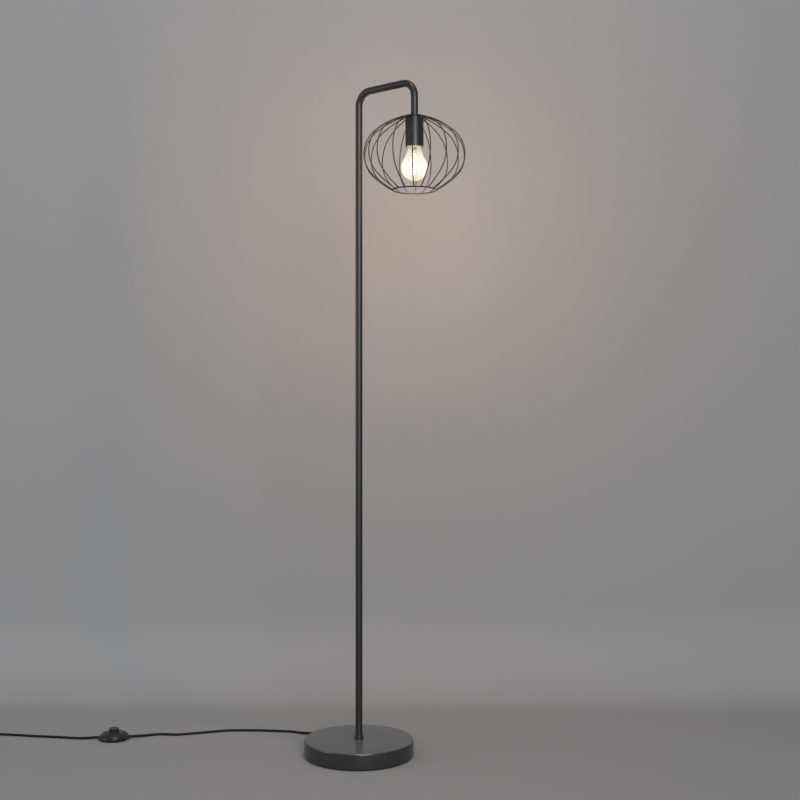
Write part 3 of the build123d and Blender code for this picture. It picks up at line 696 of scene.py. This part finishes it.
# -------- pole
def pole_lower():
    """Lower length of pole, chamfered where the upper one meets it."""
    inner = TUBE_R - TUBE_WALL
    outline = [(TUBE_R, FOOT_H), (TUBE_R, SEAM_Z / 2), (TUBE_R, SEAM_Z - 0.5 * mm), (TUBE_R - TUBE_CHAMFER, SEAM_Z),
               (inner, SEAM_Z), (inner, FOOT_H), (TUBE_R, FOOT_H)]
    piece = turned("pole_lower_tube", outline, sides=48)
    smooth(piece)
    return fit(piece, "black_coat", "pole_lower")


def over_the_arm(start_z, end_z, steps):
    """Draws an open ring up the pole, round both bends of the arm and down to the lamp."""
    bend_z = ARM_Z - BEND_R
    draw(up(bend_z - start_z))
    bend(steps, (BEND_R, 0, bend_z))
    draw((ARM_REACH - 2 * BEND_R, 0, 0))
    bend(steps, (ARM_REACH - BEND_R, 0, bend_z))
    draw(up(end_z - bend_z))


def pole_upper():
    """Upper length: straight up, bent forward into the arm and bent down to the cage."""
    mouth_r, full_z = TUBE_R - TUBE_CHAMFER, SEAM_Z + 0.5 * mm
    piece = ring("pole_upper_tube", mouth_r, up(SEAM_Z), up(1), 48)
    draw_through([(mouth_r, SEAM_Z), (TUBE_R, full_z)])
    over_the_arm(full_z, TUBE_END_Z, 20)
    close_up()
    thicken(piece, TUBE_WALL)
    smooth(piece)
    return fit(piece, "black_coat", "pole_upper")


def inner_flex():
    """The cable through foot, pole and arm, up to the holder."""
    turn_r = 12 * mm
    piece = ring("inner_flex", CORD_R, EXIT, EXIT_WAY, 16)
    draw(-EXIT_WAY * (FOOT_R + BUSH_L - turn_r))
    bend(8, EXIT_WAY * turn_r + up(CORD_EXIT_Z + turn_r), 90, (EXIT_WAY.y, -EXIT_WAY.x, 0))
    over_the_arm(CORD_EXIT_Z + turn_r, SOCKET_TOP + SOCKET_FLOOR + 11 * mm, 12)
    bpy.ops.mesh.edge_face_add()
    close_up()
    smooth(piece)
    return fit(piece, "cord_black", "inner_cable")


# -------- cage
def cage_disc():
    """Hub of the cage, a washer with softened rims."""
    bore = PIPE_R + SLIP
    outline = [(DISC_R, CUP_TOP), (DISC_R, TUBE_END_Z), (bore, TUBE_END_Z), (bore, CUP_TOP), (DISC_R, CUP_TOP)]
    piece = turned("cage_hub", outline, LAMP, sides=96)
    round_edges(piece, 0.6 * mm, 3)
    return fit(piece, "black_coat", "cage_disc")


def weld_bead(place, length, width, height):
    """Small flattened bead of weld."""
    piece = begin("weld_bead", "uv_sphere", segments=14, ring_count=8, radius=1,
                  location=place, scale=(length, width, height))
    pick("verts", lambda v: v.co.z < place[2] - 0.3 * height)
    stretch((1.12, 1.12, 0.8), place)
    close_up()
    return piece


def cage_rib():
    """One rib on the +X side: two arcs out to the widest place, two back in to the ring, and a bead at each end."""
    fall, rise, down = radians(RIB_FALL), radians(RIB_RISE), (0, -1)
    widest = (CAGE_R - RIB_R, CAGE_Z - CAGE_WIDEST_DROP)
    arcs = two_arcs((DISC_R - 1 * mm, CAGE_Z), (cos(fall), -sin(fall)), widest, down)
    arcs += two_arcs(widest, down, (RING_R, RING_Z), (-cos(rise), -sin(rise)))
    start, way, _ = arcs[0]
    wire = ring("rib", RIB_R, start, way, 12, filled=True)
    pick("edges", lambda e: True)
    for arc in arcs:
        centre, angle = bow(*arc)
        bend(12, centre, degrees(angle))
    bpy.ops.mesh.edge_face_add()
    close_up()
    beads = [
        weld_bead((DISC_R + 0.2 * mm, 0, CAGE_Z), 1.5 * mm, 1.9 * mm, 1.35 * mm),
        weld_bead((RING_R + 0.5 * mm, 0, RING_Z + 0.2 * mm), 1.9 * mm, 2.3 * mm, 1.7 * mm),
    ]
    piece = joined("rib", [wire, *beads])
    bpy.ops.transform.translate(value=LAMP)
    settle()
    smooth(piece, 60)
    return piece


def cage_ribs():
    """All ribs, three to a piece, some a little off their even places as on the lamp itself."""
    ribs = copies(cage_rib(), RIBS, lambda k: FIRST_RIB + 360 / RIBS * k + RIB_STRAYS.get(k, 0), "rib")
    for first in range(RIB_GROUPS):
        piece = joined(f"ribs_{first + 1}", ribs[first::RIB_GROUPS])
        fit(piece, "black_coat", f"cage_ribs_{first + 1}")


def cage_ring():
    """Ring at the mouth, bent from wire, with its butt weld a little proud."""
    piece = begin("mouth_ring", "torus", major_radius=RING_R, minor_radius=RING_WIRE_R,
                  major_segments=120, minor_segments=14, location=LAMP + up(RING_Z))
    butt, reach = radians(163), 2.6 * mm
    centre = LAMP + Vector((RING_R * cos(butt), RING_R * sin(butt), RING_Z))
    pick("verts", lambda v: (v.co - centre).length < reach)
    stretch((1.15, 1.15, 1.25), centre)
    close_up()
    smooth(piece, 60)
    return fit(piece, "black_coat", "cage_ring")


# -------- lampholder
def holder_cup():
    """Spun cover over the lampholder, open below, its upper rim rounded."""
    outline = [(CUP_R, CUP_MOUTH), (CUP_R, CUP_TOP), (CUP_R * 0.6, CUP_TOP), (PIPE_R + SLIP, CUP_TOP)]
    piece = pressed("holder_cup", outline, 1.5 * mm, 5, CUP_WALL, LAMP)
    round_edges(piece, 0.3 * mm, 2)
    return fit(piece, "black_coat", "lampholder_cup")


def holder_body():
    """Moulded holder, its mouth rounded and with one groove round it."""
    low, high, neck_r = HOLDER_MOUTH, SOCKET_TOP + SOCKET_FLOOR, 2.4 * mm
    outline = steps_at(0, low, (14.9, 0), (15.7, 0), (15.95, 0.5), (16.5, 0.5), (16.75, 0), (17.8, 0), (18.3, 0.2))
    outline += [(HOLDER_R, low + 0.7 * mm), (HOLDER_R, high), (neck_r, high), (neck_r, SOCKET_TOP)]
    outline += [(SOCKET_R, SOCKET_TOP), (SOCKET_R, low + 1 * mm), *steps_at(0, low, (14.2, 0.3), (14.9, 0))]
    piece = turned("holder_body", outline, LAMP, sides=96)
    smooth(piece, 40)
    return fit(piece, "holder_plastic", "lampholder_body")


def thread(name, root_r, crest_r, bottom, turns):
    """One turn's wave drawn as a line of points, then screwed round the lamp's axis."""
    count, rise = 8, THREAD_PITCH / 8
    piece = begin(name, "plane", size=mm)
    bpy.ops.mesh.merge(type="CENTER")
    bpy.ops.transform.translate(value=(crest_r, 0, bottom))
    before = crest_r
    for k in range(1, count + 1):
        radius = (crest_r + root_r) / 2 + (crest_r - root_r) / 2 * cos(2 * pi * k / count)
        bpy.ops.mesh.extrude_vertices_move(TRANSFORM_OT_translate={"value": (radius - before, 0, rise)})
        before = radius
    bpy.ops.object.mode_set(mode="OBJECT")
    apply_modifier(piece, "SCREW", angle=2 * pi, screw_offset=THREAD_PITCH, iterations=turns, steps=36, render_steps=36,
                   use_merge_vertices=True, merge_threshold=1e-6)
    bpy.ops.transform.translate(value=LAMP)
    settle()
    open_up(piece)
    close_up()
    return piece


def thread_shell():
    """Brass shell of the socket, pressed into a screw thread."""
    sheet = 0.02 * mm
    wave = thread("socket_thread", SOCKET_R - sheet, SOCKET_R - 0.5 * mm, HOLDER_MOUTH + 3 * mm, 5)
    thicken(wave, sheet)
    lip = steps_at(SOCKET_R, HOLDER_MOUTH, (-0.03, 2.6), (-0.03, 4), (-0.45, 4), (-0.35, 2.6), (-0.03, 2.6))
    piece = joined("socket_thread", [wave, turned("shell_lip", lip, LAMP)])
    smooth(piece, 50)
    return fit(piece, "contact_brass", "thread_shell")


# -------- bulb
def bulb_glass():
    """The ball is the lower part of a sphere; its open rim is drawn up into the neck and given its wall."""
    rim, shoulder, flare = radians(30), radians(33), radians(16)
    piece = begin("bulb_envelope", "uv_sphere", segments=72, ring_count=45, radius=BULB_R, location=LAMP + up(BULB_Z))
    rim_z = BULB_Z + BULB_R * sin(rim)
    pick("verts", lambda v: v.co.z > rim_z + 0.1 * mm)
    bpy.ops.mesh.delete(type="VERT")
    pick("edges", lambda e: e.is_boundary)
    meet = (BULB_R * cos(shoulder), BULB_Z + BULB_R * sin(shoulder))
    outline = [(BULB_R * cos(rim), rim_z), meet]
    leave, arrive = (-sin(shoulder), cos(shoulder)), (-sin(flare), cos(flare))
    for arc in two_arcs(meet, leave, (BULB_NECK_R, HOLDER_MOUTH), arrive):
        outline += arc_points(*arc, 7)
    outline += steps_at(BULB_NECK_R, BULB_CAP_MOUTH, (0, -0.2), (-0.8, 0.2), (-1, 0.9))
    draw_through(outline, LAMP)
    close_up()
    thicken(piece, BULB_WALL)
    smooth(piece, 60)
    return fit(piece, "bulb_glass", "bulb_glass", body="bulb")


def bulb_cap():
    """Aluminium cap: plain skirt, screw thread and a rolled shoulder."""
    low, high, crest = BULB_CAP_MOUTH, BULB_CAP_TOP, BULB_CAP_R
    core, eye = crest - 0.85 * mm, 5.8 * mm
    outline = steps_at(crest, low, (-0.4, 0), (0, 0), (0, 3)) + [(core, low + 4 * mm)]
    outline += steps_at(core, high, (0, -2.2), (-0.7, -0.8), (-2, 0)) + [(eye, high), (eye, high - 0.4 * mm)]
    outline += [*steps_at(core, high, (-2, -0.4), (-0.5, -2)), (core - 0.5 * mm, low), outline[0]]
    skirt = turned("cap_skirt", outline, LAMP)
    wave = thread("cap_wave", core - 0.05 * mm, crest, low + 3.6 * mm, 4)
    piece = joined("bulb_screw_cap", [skirt, wave])
    smooth(piece, 50)
    return fit(piece, "bulb_metal", "bulb_cap", body="bulb")


def bulb_stem():
    """Flared glass foot drawn into a thin rod, pinched flat where the wires are sealed in."""
    top, pinch = BULB_CAP_MOUTH + 1 * mm, 13 * mm
    outline = steps_at(0, top, (11.6, 0), (11.4, -0.8), (8.5, -3), (5.6, -6), (4, -9), (3.1, -13), (2.4, -17),
                       (1.7, -20), (1.6, -33), (1.9, -34.6), (1.2, -36))
    piece = turned("glass_stem", outline, LAMP, sides=40, solid=True)
    open_up(piece)
    pick("verts", lambda v: abs(v.co.z - top + pinch) < 5 * mm)
    stretch((1.35, 0.62, 1), LAMP + up(top - pinch))
    close_up()
    smooth(piece, 60)
    return fit(piece, "stem_glass", "bulb_stem", body="bulb")


def filaments():
    """Four leaning rods, each with a metal tip at both ends, between a hoop below and a spider above."""
    count, circle_r, rod_r, rod_l, tip_l, lean = 4, 9 * mm, 0.9 * mm, 34 * mm, 2 * mm, radians(7)
    wire_r, lead_out, middle = 0.3 * mm, 2.6 * mm, BULB_Z + 2 * mm
    rise, spread = rod_l / 2 * cos(lean), rod_l / 2 * sin(lean)
    low, high = middle - rise, middle + rise
    way = Vector((-sin(lean), 0, cos(lean)))
    foot = LAMP + Vector((circle_r, 0, middle)) - way * rod_l / 2
    core = [(rod_r * 0.6, 1.6 * mm), (rod_r, 2.1 * mm), (rod_r, rod_l - 2.1 * mm), (rod_r * 0.6, rod_l - 1.6 * mm)]
    rod = turned("rod", core, foot, way, 16, solid=True)
    smooth(rod, 40)
    caps = [steps_at(0, start, (0.25, 0), (0.55, 0.15), (0.55, 1.85), (0.25, 2)) for start in (0, rod_l - tip_l)]
    tips = [turned("tip", cap, foot, way, 10, solid=True) for cap in caps]
    arm = [(wire_r, 1.4 * mm), (wire_r, circle_r - spread)]
    wires = joined("wires", [*tips, turned("arm", arm, LAMP + up(high), (1, 0, 0), 8, solid=True)])
    rods = copies(rod, count, lambda k: 45 + 360 / count * k, "filament_rod")
    all_wires = copies(wires, count, lambda k: 45 + 360 / count * k, "filament_wire")
    hoop = begin("hoop", "torus", major_radius=circle_r + spread, minor_radius=wire_r,
                 major_segments=48, minor_segments=8, location=LAMP + up(low))
    bpy.ops.object.mode_set(mode="OBJECT")
    side = Vector((lead_out, 0, 0))
    swelled = steps_at(wire_r, high, (0, -1), (0, 12), (0.15, 13), (0, 24))
    leads = [turned("lead", swelled, LAMP + side, sides=8, solid=True),
             turned("lead", [swelled[0], swelled[-1]], LAMP - side, sides=8, solid=True)]
    fit(joined("filament_rods", rods), "filament", "bulb_filaments", body="bulb")
    metal = joined("filament_wires", [*all_wires, hoop, *leads])
    smooth(metal, 50)
    fit(metal, "bulb_metal", "bulb_filaments", body="bulb")


# -------- foot switch
def level_way(angle):
    """Level direction at an angle from +X, in degrees."""
    return Vector((cos(radians(angle)), sin(radians(angle)), 0))


def switch_plate():
    """Bottom plate with four sunk screw places."""
    screws, screw_r = 4, 27
    outline = steps_at(SWITCH_R, 0, (-2, 0), (-1.2, 0.05), (-0.35, 0.45), (0, 1.4), (0, 3))
    piece = turned("switch_plate", outline, SWITCH, sides=96, solid=True)
    sink = steps_at(0, 0, (2.8, -1), (2.8, 1.5), (1.4, 1.5), (1.4, 5))
    for k in range(screws):
        place = SWITCH + level_way(SWITCH_AXIS + 45 + 360 / screws * k) * screw_r * mm
        cut(piece, turned("sink", sink, place, sides=24, solid=True))
    smooth(piece)
    return fit(piece, "switch_plastic", "switch_base")


def switch_dome():
    """Domed cover, its crown one arc, turned down into the hole round the button."""
    hole_r, rim_z, swell = BUTTON_R + 0.35 * mm, 6.5 * mm, 3.2 * mm
    crown = ((SWITCH_R + hole_r) / 2 + swell, (rim_z + SWITCH_H) / 2 + swell)
    outline = [*steps_at(SWITCH_R, 0, (-0.3, 3), (0, 3.4)), (SWITCH_R, rim_z - 0.3 * mm)]
    outline += arc_through((SWITCH_R, rim_z), crown, (hole_r, SWITCH_H), 16)[:-1]
    outline += steps_at(hole_r, SWITCH_H, (0.4, 0.1), (0, -0.3), (0, -2))
    piece = turned("switch_dome", outline, SWITCH, sides=96)
    smooth(piece, 40)
    return fit(piece, "switch_plastic", "switch_cover")


def switch_button():
    """Hollow button with a dished top, a softened edge and a flange that the dome holds back."""
    low, bore, edge = 12.05 * mm, BUTTON_R - 2.8 * mm, 1.2 * mm
    outline = [(bore, SPRING_TOP), (bore, low), *steps_at(BUTTON_R, low, (2, 0), (2, 1.8), (0, 1.8))]
    outline += [(BUTTON_R, BUTTON_TOP - edge), *arc_steps(BUTTON_R - edge, BUTTON_TOP - edge, edge, 15, 90, 5)]
    outline += steps_at(BUTTON_R, BUTTON_TOP, (-2, 0), (-2.6, -0.25), (-4.4, -0.5))
    outline += [(BUTTON_R * 0.35, BUTTON_TOP - 0.7 * mm), (0, BUTTON_TOP - 0.72 * mm)]
    piece = turned("switch_push", outline, SWITCH, sides=80, solid=True)
    smooth(piece, 40)
    return fit(piece, "switch_plastic", "switch_button", body="button")


def switch_spring():
    """Open coil spring between the contact unit and the roof of the button, drawn at its full length with the button
    up.
    """
    wire, turns, per_turn, radius = 0.5 * mm, 4, 16, 4.56 * mm
    low, high = SPRING_FOOT + wire, SPRING_TOP - wire
    helix = [SWITCH + level_way(360 * k / per_turn) * radius + up(low + (high - low) * k / (turns * per_turn))
             for k in range(turns * per_turn + 1)]
    only(tube("switch_coil", helix, wire, 3, 2))
    bpy.ops.object.convert(target="MESH")
    piece = bpy.context.object
    smooth(piece, 60)
    fit(piece, "zinc_steel", "switch_spring")
    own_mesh(piece)
    return piece


# -------- cord: the route of the solids
COIL = Vector((-785, -505, 0)) * mm
COIL_TURNS = 5.25
COIL_START = 130.5
COIL_STEP = 6.4 * mm
COIL_LAYER = 6.35 * mm
COIL_INNER_R = 40 * mm - COIL_STEP * COIL_TURNS / 2
COIL_PER_TURN = 24

# In mm, from the bush to the switch and from the switch to the coil.
TO_SWITCH = [(-189.93, 43.06, 9), (-211.93, 41.06, 5), (-232, 40, 2.9), (-251, 36.5, 2.9), (-281, 17.5, 2.9),
             (-318, -7, 2.9), (-349, -32, 2.9), (-381, -60.5, 2.9), (-404, -101, 2.9), (-427, -139.5, 2.9),
             (-447, -170, 2.9), (-478, -186, 2.9), (-492, -211.5, 2.9)]
TO_COIL = [(-595, -337.5, 2.9), (-628, -355, 2.9), (-665, -377, 2.9), (-699, -399, 2.9), (-735, -418, 2.9)]


def coil_point(turn):
    """Place on the coil, a number of turns before or after the spiral reverses."""
    radius = COIL_INNER_R + COIL_STEP * abs(turn)
    angle = radians(COIL_START) + 2 * pi * (turn + COIL_TURNS / 2)
    climbed = (1 + sin(2 * pi * max(-0.25, min(0.25, turn)))) / 2
    return COIL + Vector((radius * cos(angle), radius * sin(angle), CORD_R + COIL_LAYER * climbed))


def coil_way(turn):
    return (coil_point(turn + 1e-4) - coil_point(turn - 1e-4)).normalized()


def tail():
    """Free end from the coil to the plug, and the way the plug points."""
    half = COIL_TURNS / 2
    way = coil_way(half)
    place = coil_point(half) + way * CORD_R * 3
    angle = degrees(atan2(way.y, way.x))
    points = [place]
    for k, (run, z) in enumerate(zip((14, 20, 14), (place.z, PLUG_T / 2, PLUG_T / 2))):
        place = place + level_way(angle + 7 * k) * run * mm
        place.z = z
        points.append(place)
    return points, angle + 14


def cord_route():
    """Points from the bush through the switch and round the coil to the plug."""
    half = COIL_TURNS / 2
    way_in = coil_way(-half)
    start = coil_point(-half) - way_in * 20 * mm
    before = start - way_in * 30 * mm
    points = [EXIT, EXIT + EXIT_WAY * 22 * mm]
    points += [Vector(p) * mm for p in TO_SWITCH]
    points += [SWITCH + level_way(SWITCH_AXIS) * far * mm + up(SWITCH_CORD_Z) for far in (47, 17, -17, -47)]
    points += [Vector(p) * mm for p in TO_COIL]
    points += [Vector((before.x, before.y, CORD_R)), Vector((start.x, start.y, CORD_R))]
    count = int(COIL_TURNS * COIL_PER_TURN)
    points += [coil_point(COIL_TURNS * (k / count - 0.5)) for k in range(count + 1)]
    return points + tail()[0]


def cord():
    piece = tube("cord", cord_route(), CORD_R, 5, 4)
    return fit(piece, "cord_black", "cord_base_run", "cord_switch_run", "cord_coil", "cord_tail")


# -------- plug
def lay_plug(piece):
    """Moves a plug piece from the origin, where it points along +X, to the cord's end."""
    points, angle = tail()
    only(piece)
    piece.rotation_euler = (0, 0, radians(angle))
    piece.location = points[-1]
    settle()
    return piece


def plug_body():
    """Flat two-pin plug: a block drawn back and narrowed towards the cord, with finger hollows and a grooved sleeve."""
    width, back, straight = 26 * mm, 12 * mm, PLUG_L * 0.45
    front, grooves, thick, swell = SLEEVE_L + PLUG_L, 6, 3.8 * mm, 1.0 * mm
    block = begin("plug_block", "cube", size=1, location=(front - straight / 2, 0, 0),
                  scale=(straight, width, PLUG_T))
    pick("faces", lambda f: f.normal.x < -0.9)
    draw((straight - PLUG_L, 0, 0), solid=True)
    stretch((1, back / width, 0.86), (SLEEVE_L, 0, 0))
    pick("faces", lambda f: abs(f.normal.y) > 0.5 and f.calc_center_median().x < front - straight)
    bpy.ops.mesh.inset(thickness=2.8 * mm, depth=-0.7 * mm)
    pick("faces", lambda f: f.normal.x > 0.9)
    bpy.ops.mesh.inset(thickness=2.6 * mm, depth=0)
    bpy.ops.transform.translate(value=(-0.4 * mm, 0, 0))
    close_up()
    round_edges(block, 1.6 * mm, 4, 18)
    outline = steps_at(0, 0, (3, 0), (3.5, 0), (3.8, 0.3))
    for k in range(grooves):
        here = (2 + 3.3 * k) * mm
        outline += steps_at(thick + swell * here / SLEEVE_L, here, (0, 0), (-0.7, 0.3), (-0.7, 1.1), (0.05, 1.4))
    outline += steps_at(thick + swell, SLEEVE_L, (0, 0), (0, 2))
    sleeve = turned("plug_sleeve", outline, way=(1, 0, 0), sides=40, solid=True)
    smooth(sleeve, 50)
    return fit(lay_plug(joined("plug", [block, sleeve])), "plug_plastic", "plug_body")


def plug_pins():
    """Round pins: a bare rounded tip and an insulated half next to the plug."""
    length, spacing, pin_r, tip_r = 19 * mm, 18.6 * mm, 2 * mm, 1.5 * mm
    sleeve = steps_at(pin_r, 0, (0, -0.5), (0, 9.6), (-0.25, 10))
    tip = [(pin_r - 0.05 * mm, 9.8 * mm), *arc_steps(pin_r - tip_r, length - tip_r, tip_r - 0.05 * mm, 0, 90, 6)]
    made = []
    for name, outline, slot in (("sleeve", sleeve, "plug_plastic"), ("tip", tip, "pin_metal")):
        pair = [turned(f"pin_{name}", outline, (SLEEVE_L + PLUG_L, side * spacing / 2, 0), (1, 0, 0), 32, solid=True)
                for side in (-1, 1)]
        piece = lay_plug(joined(f"plug_pin_{name}s", pair))
        smooth(piece, 50)
        made.append(fit(piece, slot, "plug_pins"))
    return made


# -------- build it
flex = cord()
bush = cord_bush()
plate, dome, push, spring = switch_plate(), switch_dome(), switch_button(), switch_spring()
plug = plug_body()
pin_sleeves, pin_tips = plug_pins()

for make in (foot_cover, foot_mat, pole_collar, pole_lower, pole_upper, inner_flex, cage_disc, cage_ribs, cage_ring,
             holder_cup, holder_body, thread_shell, bulb_glass, bulb_cap, bulb_stem, filaments):
    make()

carried_over = {
    "cement": ["base_weight"],
    "zinc_steel": ["base_washer", "base_nut", "base_pipe", "pole_foot_insert", "pole_joint", "arm_insert", "lamp_pipe",
                   "cup_nut", "switch_screws"],
    "holder_plastic": ["lampholder_cap"],
    "contact_brass": ["centre_contact", "terminal_screws"],
    "bulb_insulator": ["bulb_insulator"],
    "bulb_metal": ["bulb_contact"],
    "block_plastic": ["switch_block"],
}
for slot, nodes in carried_over.items():
    for name in nodes:
        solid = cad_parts[name]
        solid.data.materials.clear()
        solid.data.materials.append(FINISHES[slot])


# -------- floor, backdrop and light
def pale_paper():
    """Pale studio paper, seen from its front only so that it hides nothing from behind."""
    material, tree, place = blank("pale paper")
    tone = use(tree, TONE_DRIFT, Vector=place, Color=(0.290, 0.2945, 0.301, 1), Drift=0.04, Scale=0.7)
    dress(tree, Base_Color=tone, Roughness=0.85, Specular_IOR_Level=0.2)
    from_behind = put(tree, "ShaderNodeNewGeometry").outputs["Backfacing"]
    clear = put(tree, "ShaderNodeBsdfTransparent").outputs[0]
    either = put(tree, "ShaderNodeMixShader", from_behind, tree.nodes["Principled BSDF"].outputs[0], clear)
    feed(tree, tree.nodes["Material Output"].inputs["Surface"], either.outputs[0])
    return material


def backdrop():
    """Floor paper that sweeps up into the wall behind the lamp."""
    depth, sweep, top, reach, width = 0.38, 0.24, 4.5, 7.0, 16.0
    middle = (0, (depth - reach) / 2, 0)
    paper = begin("paper", "plane", size=1, location=middle)
    stretch((width, depth + reach, 1), middle)
    pick("edges", lambda e: all(v.co.y > depth - 1 * mm for v in e.verts))
    bend(24, (0, depth, sweep), axis=(1, 0, 0))
    draw(up(top))
    bpy.ops.mesh.select_all(action="SELECT")
    bpy.ops.object.mode_set(mode="OBJECT")
    paper.rotation_euler = (0, 0, VIEW_TURN)
    settle()
    smooth(paper, 60)
    paper.data.materials.append(pale_paper())


def soft_light(name, place, aim, size, power, colour=(1, 1, 1)):
    """Square soft light at a place, turned to what it lights."""
    bpy.ops.object.select_all(action="DESELECT")
    bpy.ops.object.light_add(type="AREA", location=place)
    light = bpy.context.object
    light.name = name
    light.data.shape = "SQUARE"
    light.data.size = size
    light.data.energy = power
    light.data.color = colour
    light.rotation_euler = (Vector(aim) - Vector(place)).to_track_quat("-Z", "Y").to_euler()
    return light


def lights():
    """Three soft boxes, the bulb's warm light in the cage and on the wall, and a pale surround."""
    soft_light("front_softbox", (5.4, -3.9, 2.5), (0, 0, 0.6), 2.8, 240)
    soft_light("side_softbox", (-1.62, -2.57, 1.2), (-1.32, -0.31, 0.6), 1.6, 16)
    soft_light("top_softbox", (0.6, -0.6, 3.2), (0.2, -0.2, 0), 1.2, 17)
    warm = (1.0, 0.57, 0.29)
    behind = LAMP + Vector((-0.085, 0.099, BULB_Z))
    wall_glow = soft_light("wall_glow", behind, behind + Vector((-0.65, 0.76, 0)), 0.06, 1.4, warm)
    bpy.ops.object.light_add(type="POINT", location=LAMP + up(BULB_Z))
    bulb_glow = bpy.context.object
    bulb_glow.name = "bulb_glow"
    bulb_glow.data.shadow_soft_size = 0.012
    bulb_glow.data.energy = 6.0
    bulb_glow.data.color = warm
    for glow in (wall_glow, bulb_glow):
        glow.visible_camera = glow.visible_glossy = glow.visible_transmission = False
    world = bpy.data.worlds.new("studio")
    bpy.context.scene.world = world
    world.use_nodes = True
    surround = world.node_tree.nodes["Background"]
    surround.inputs["Color"].default_value = (0.280, 0.281, 0.288, 1)
    surround.inputs["Strength"].default_value = 1.0


backdrop()
lights()
bpy.data.objects["bulb_envelope"].visible_shadow = False
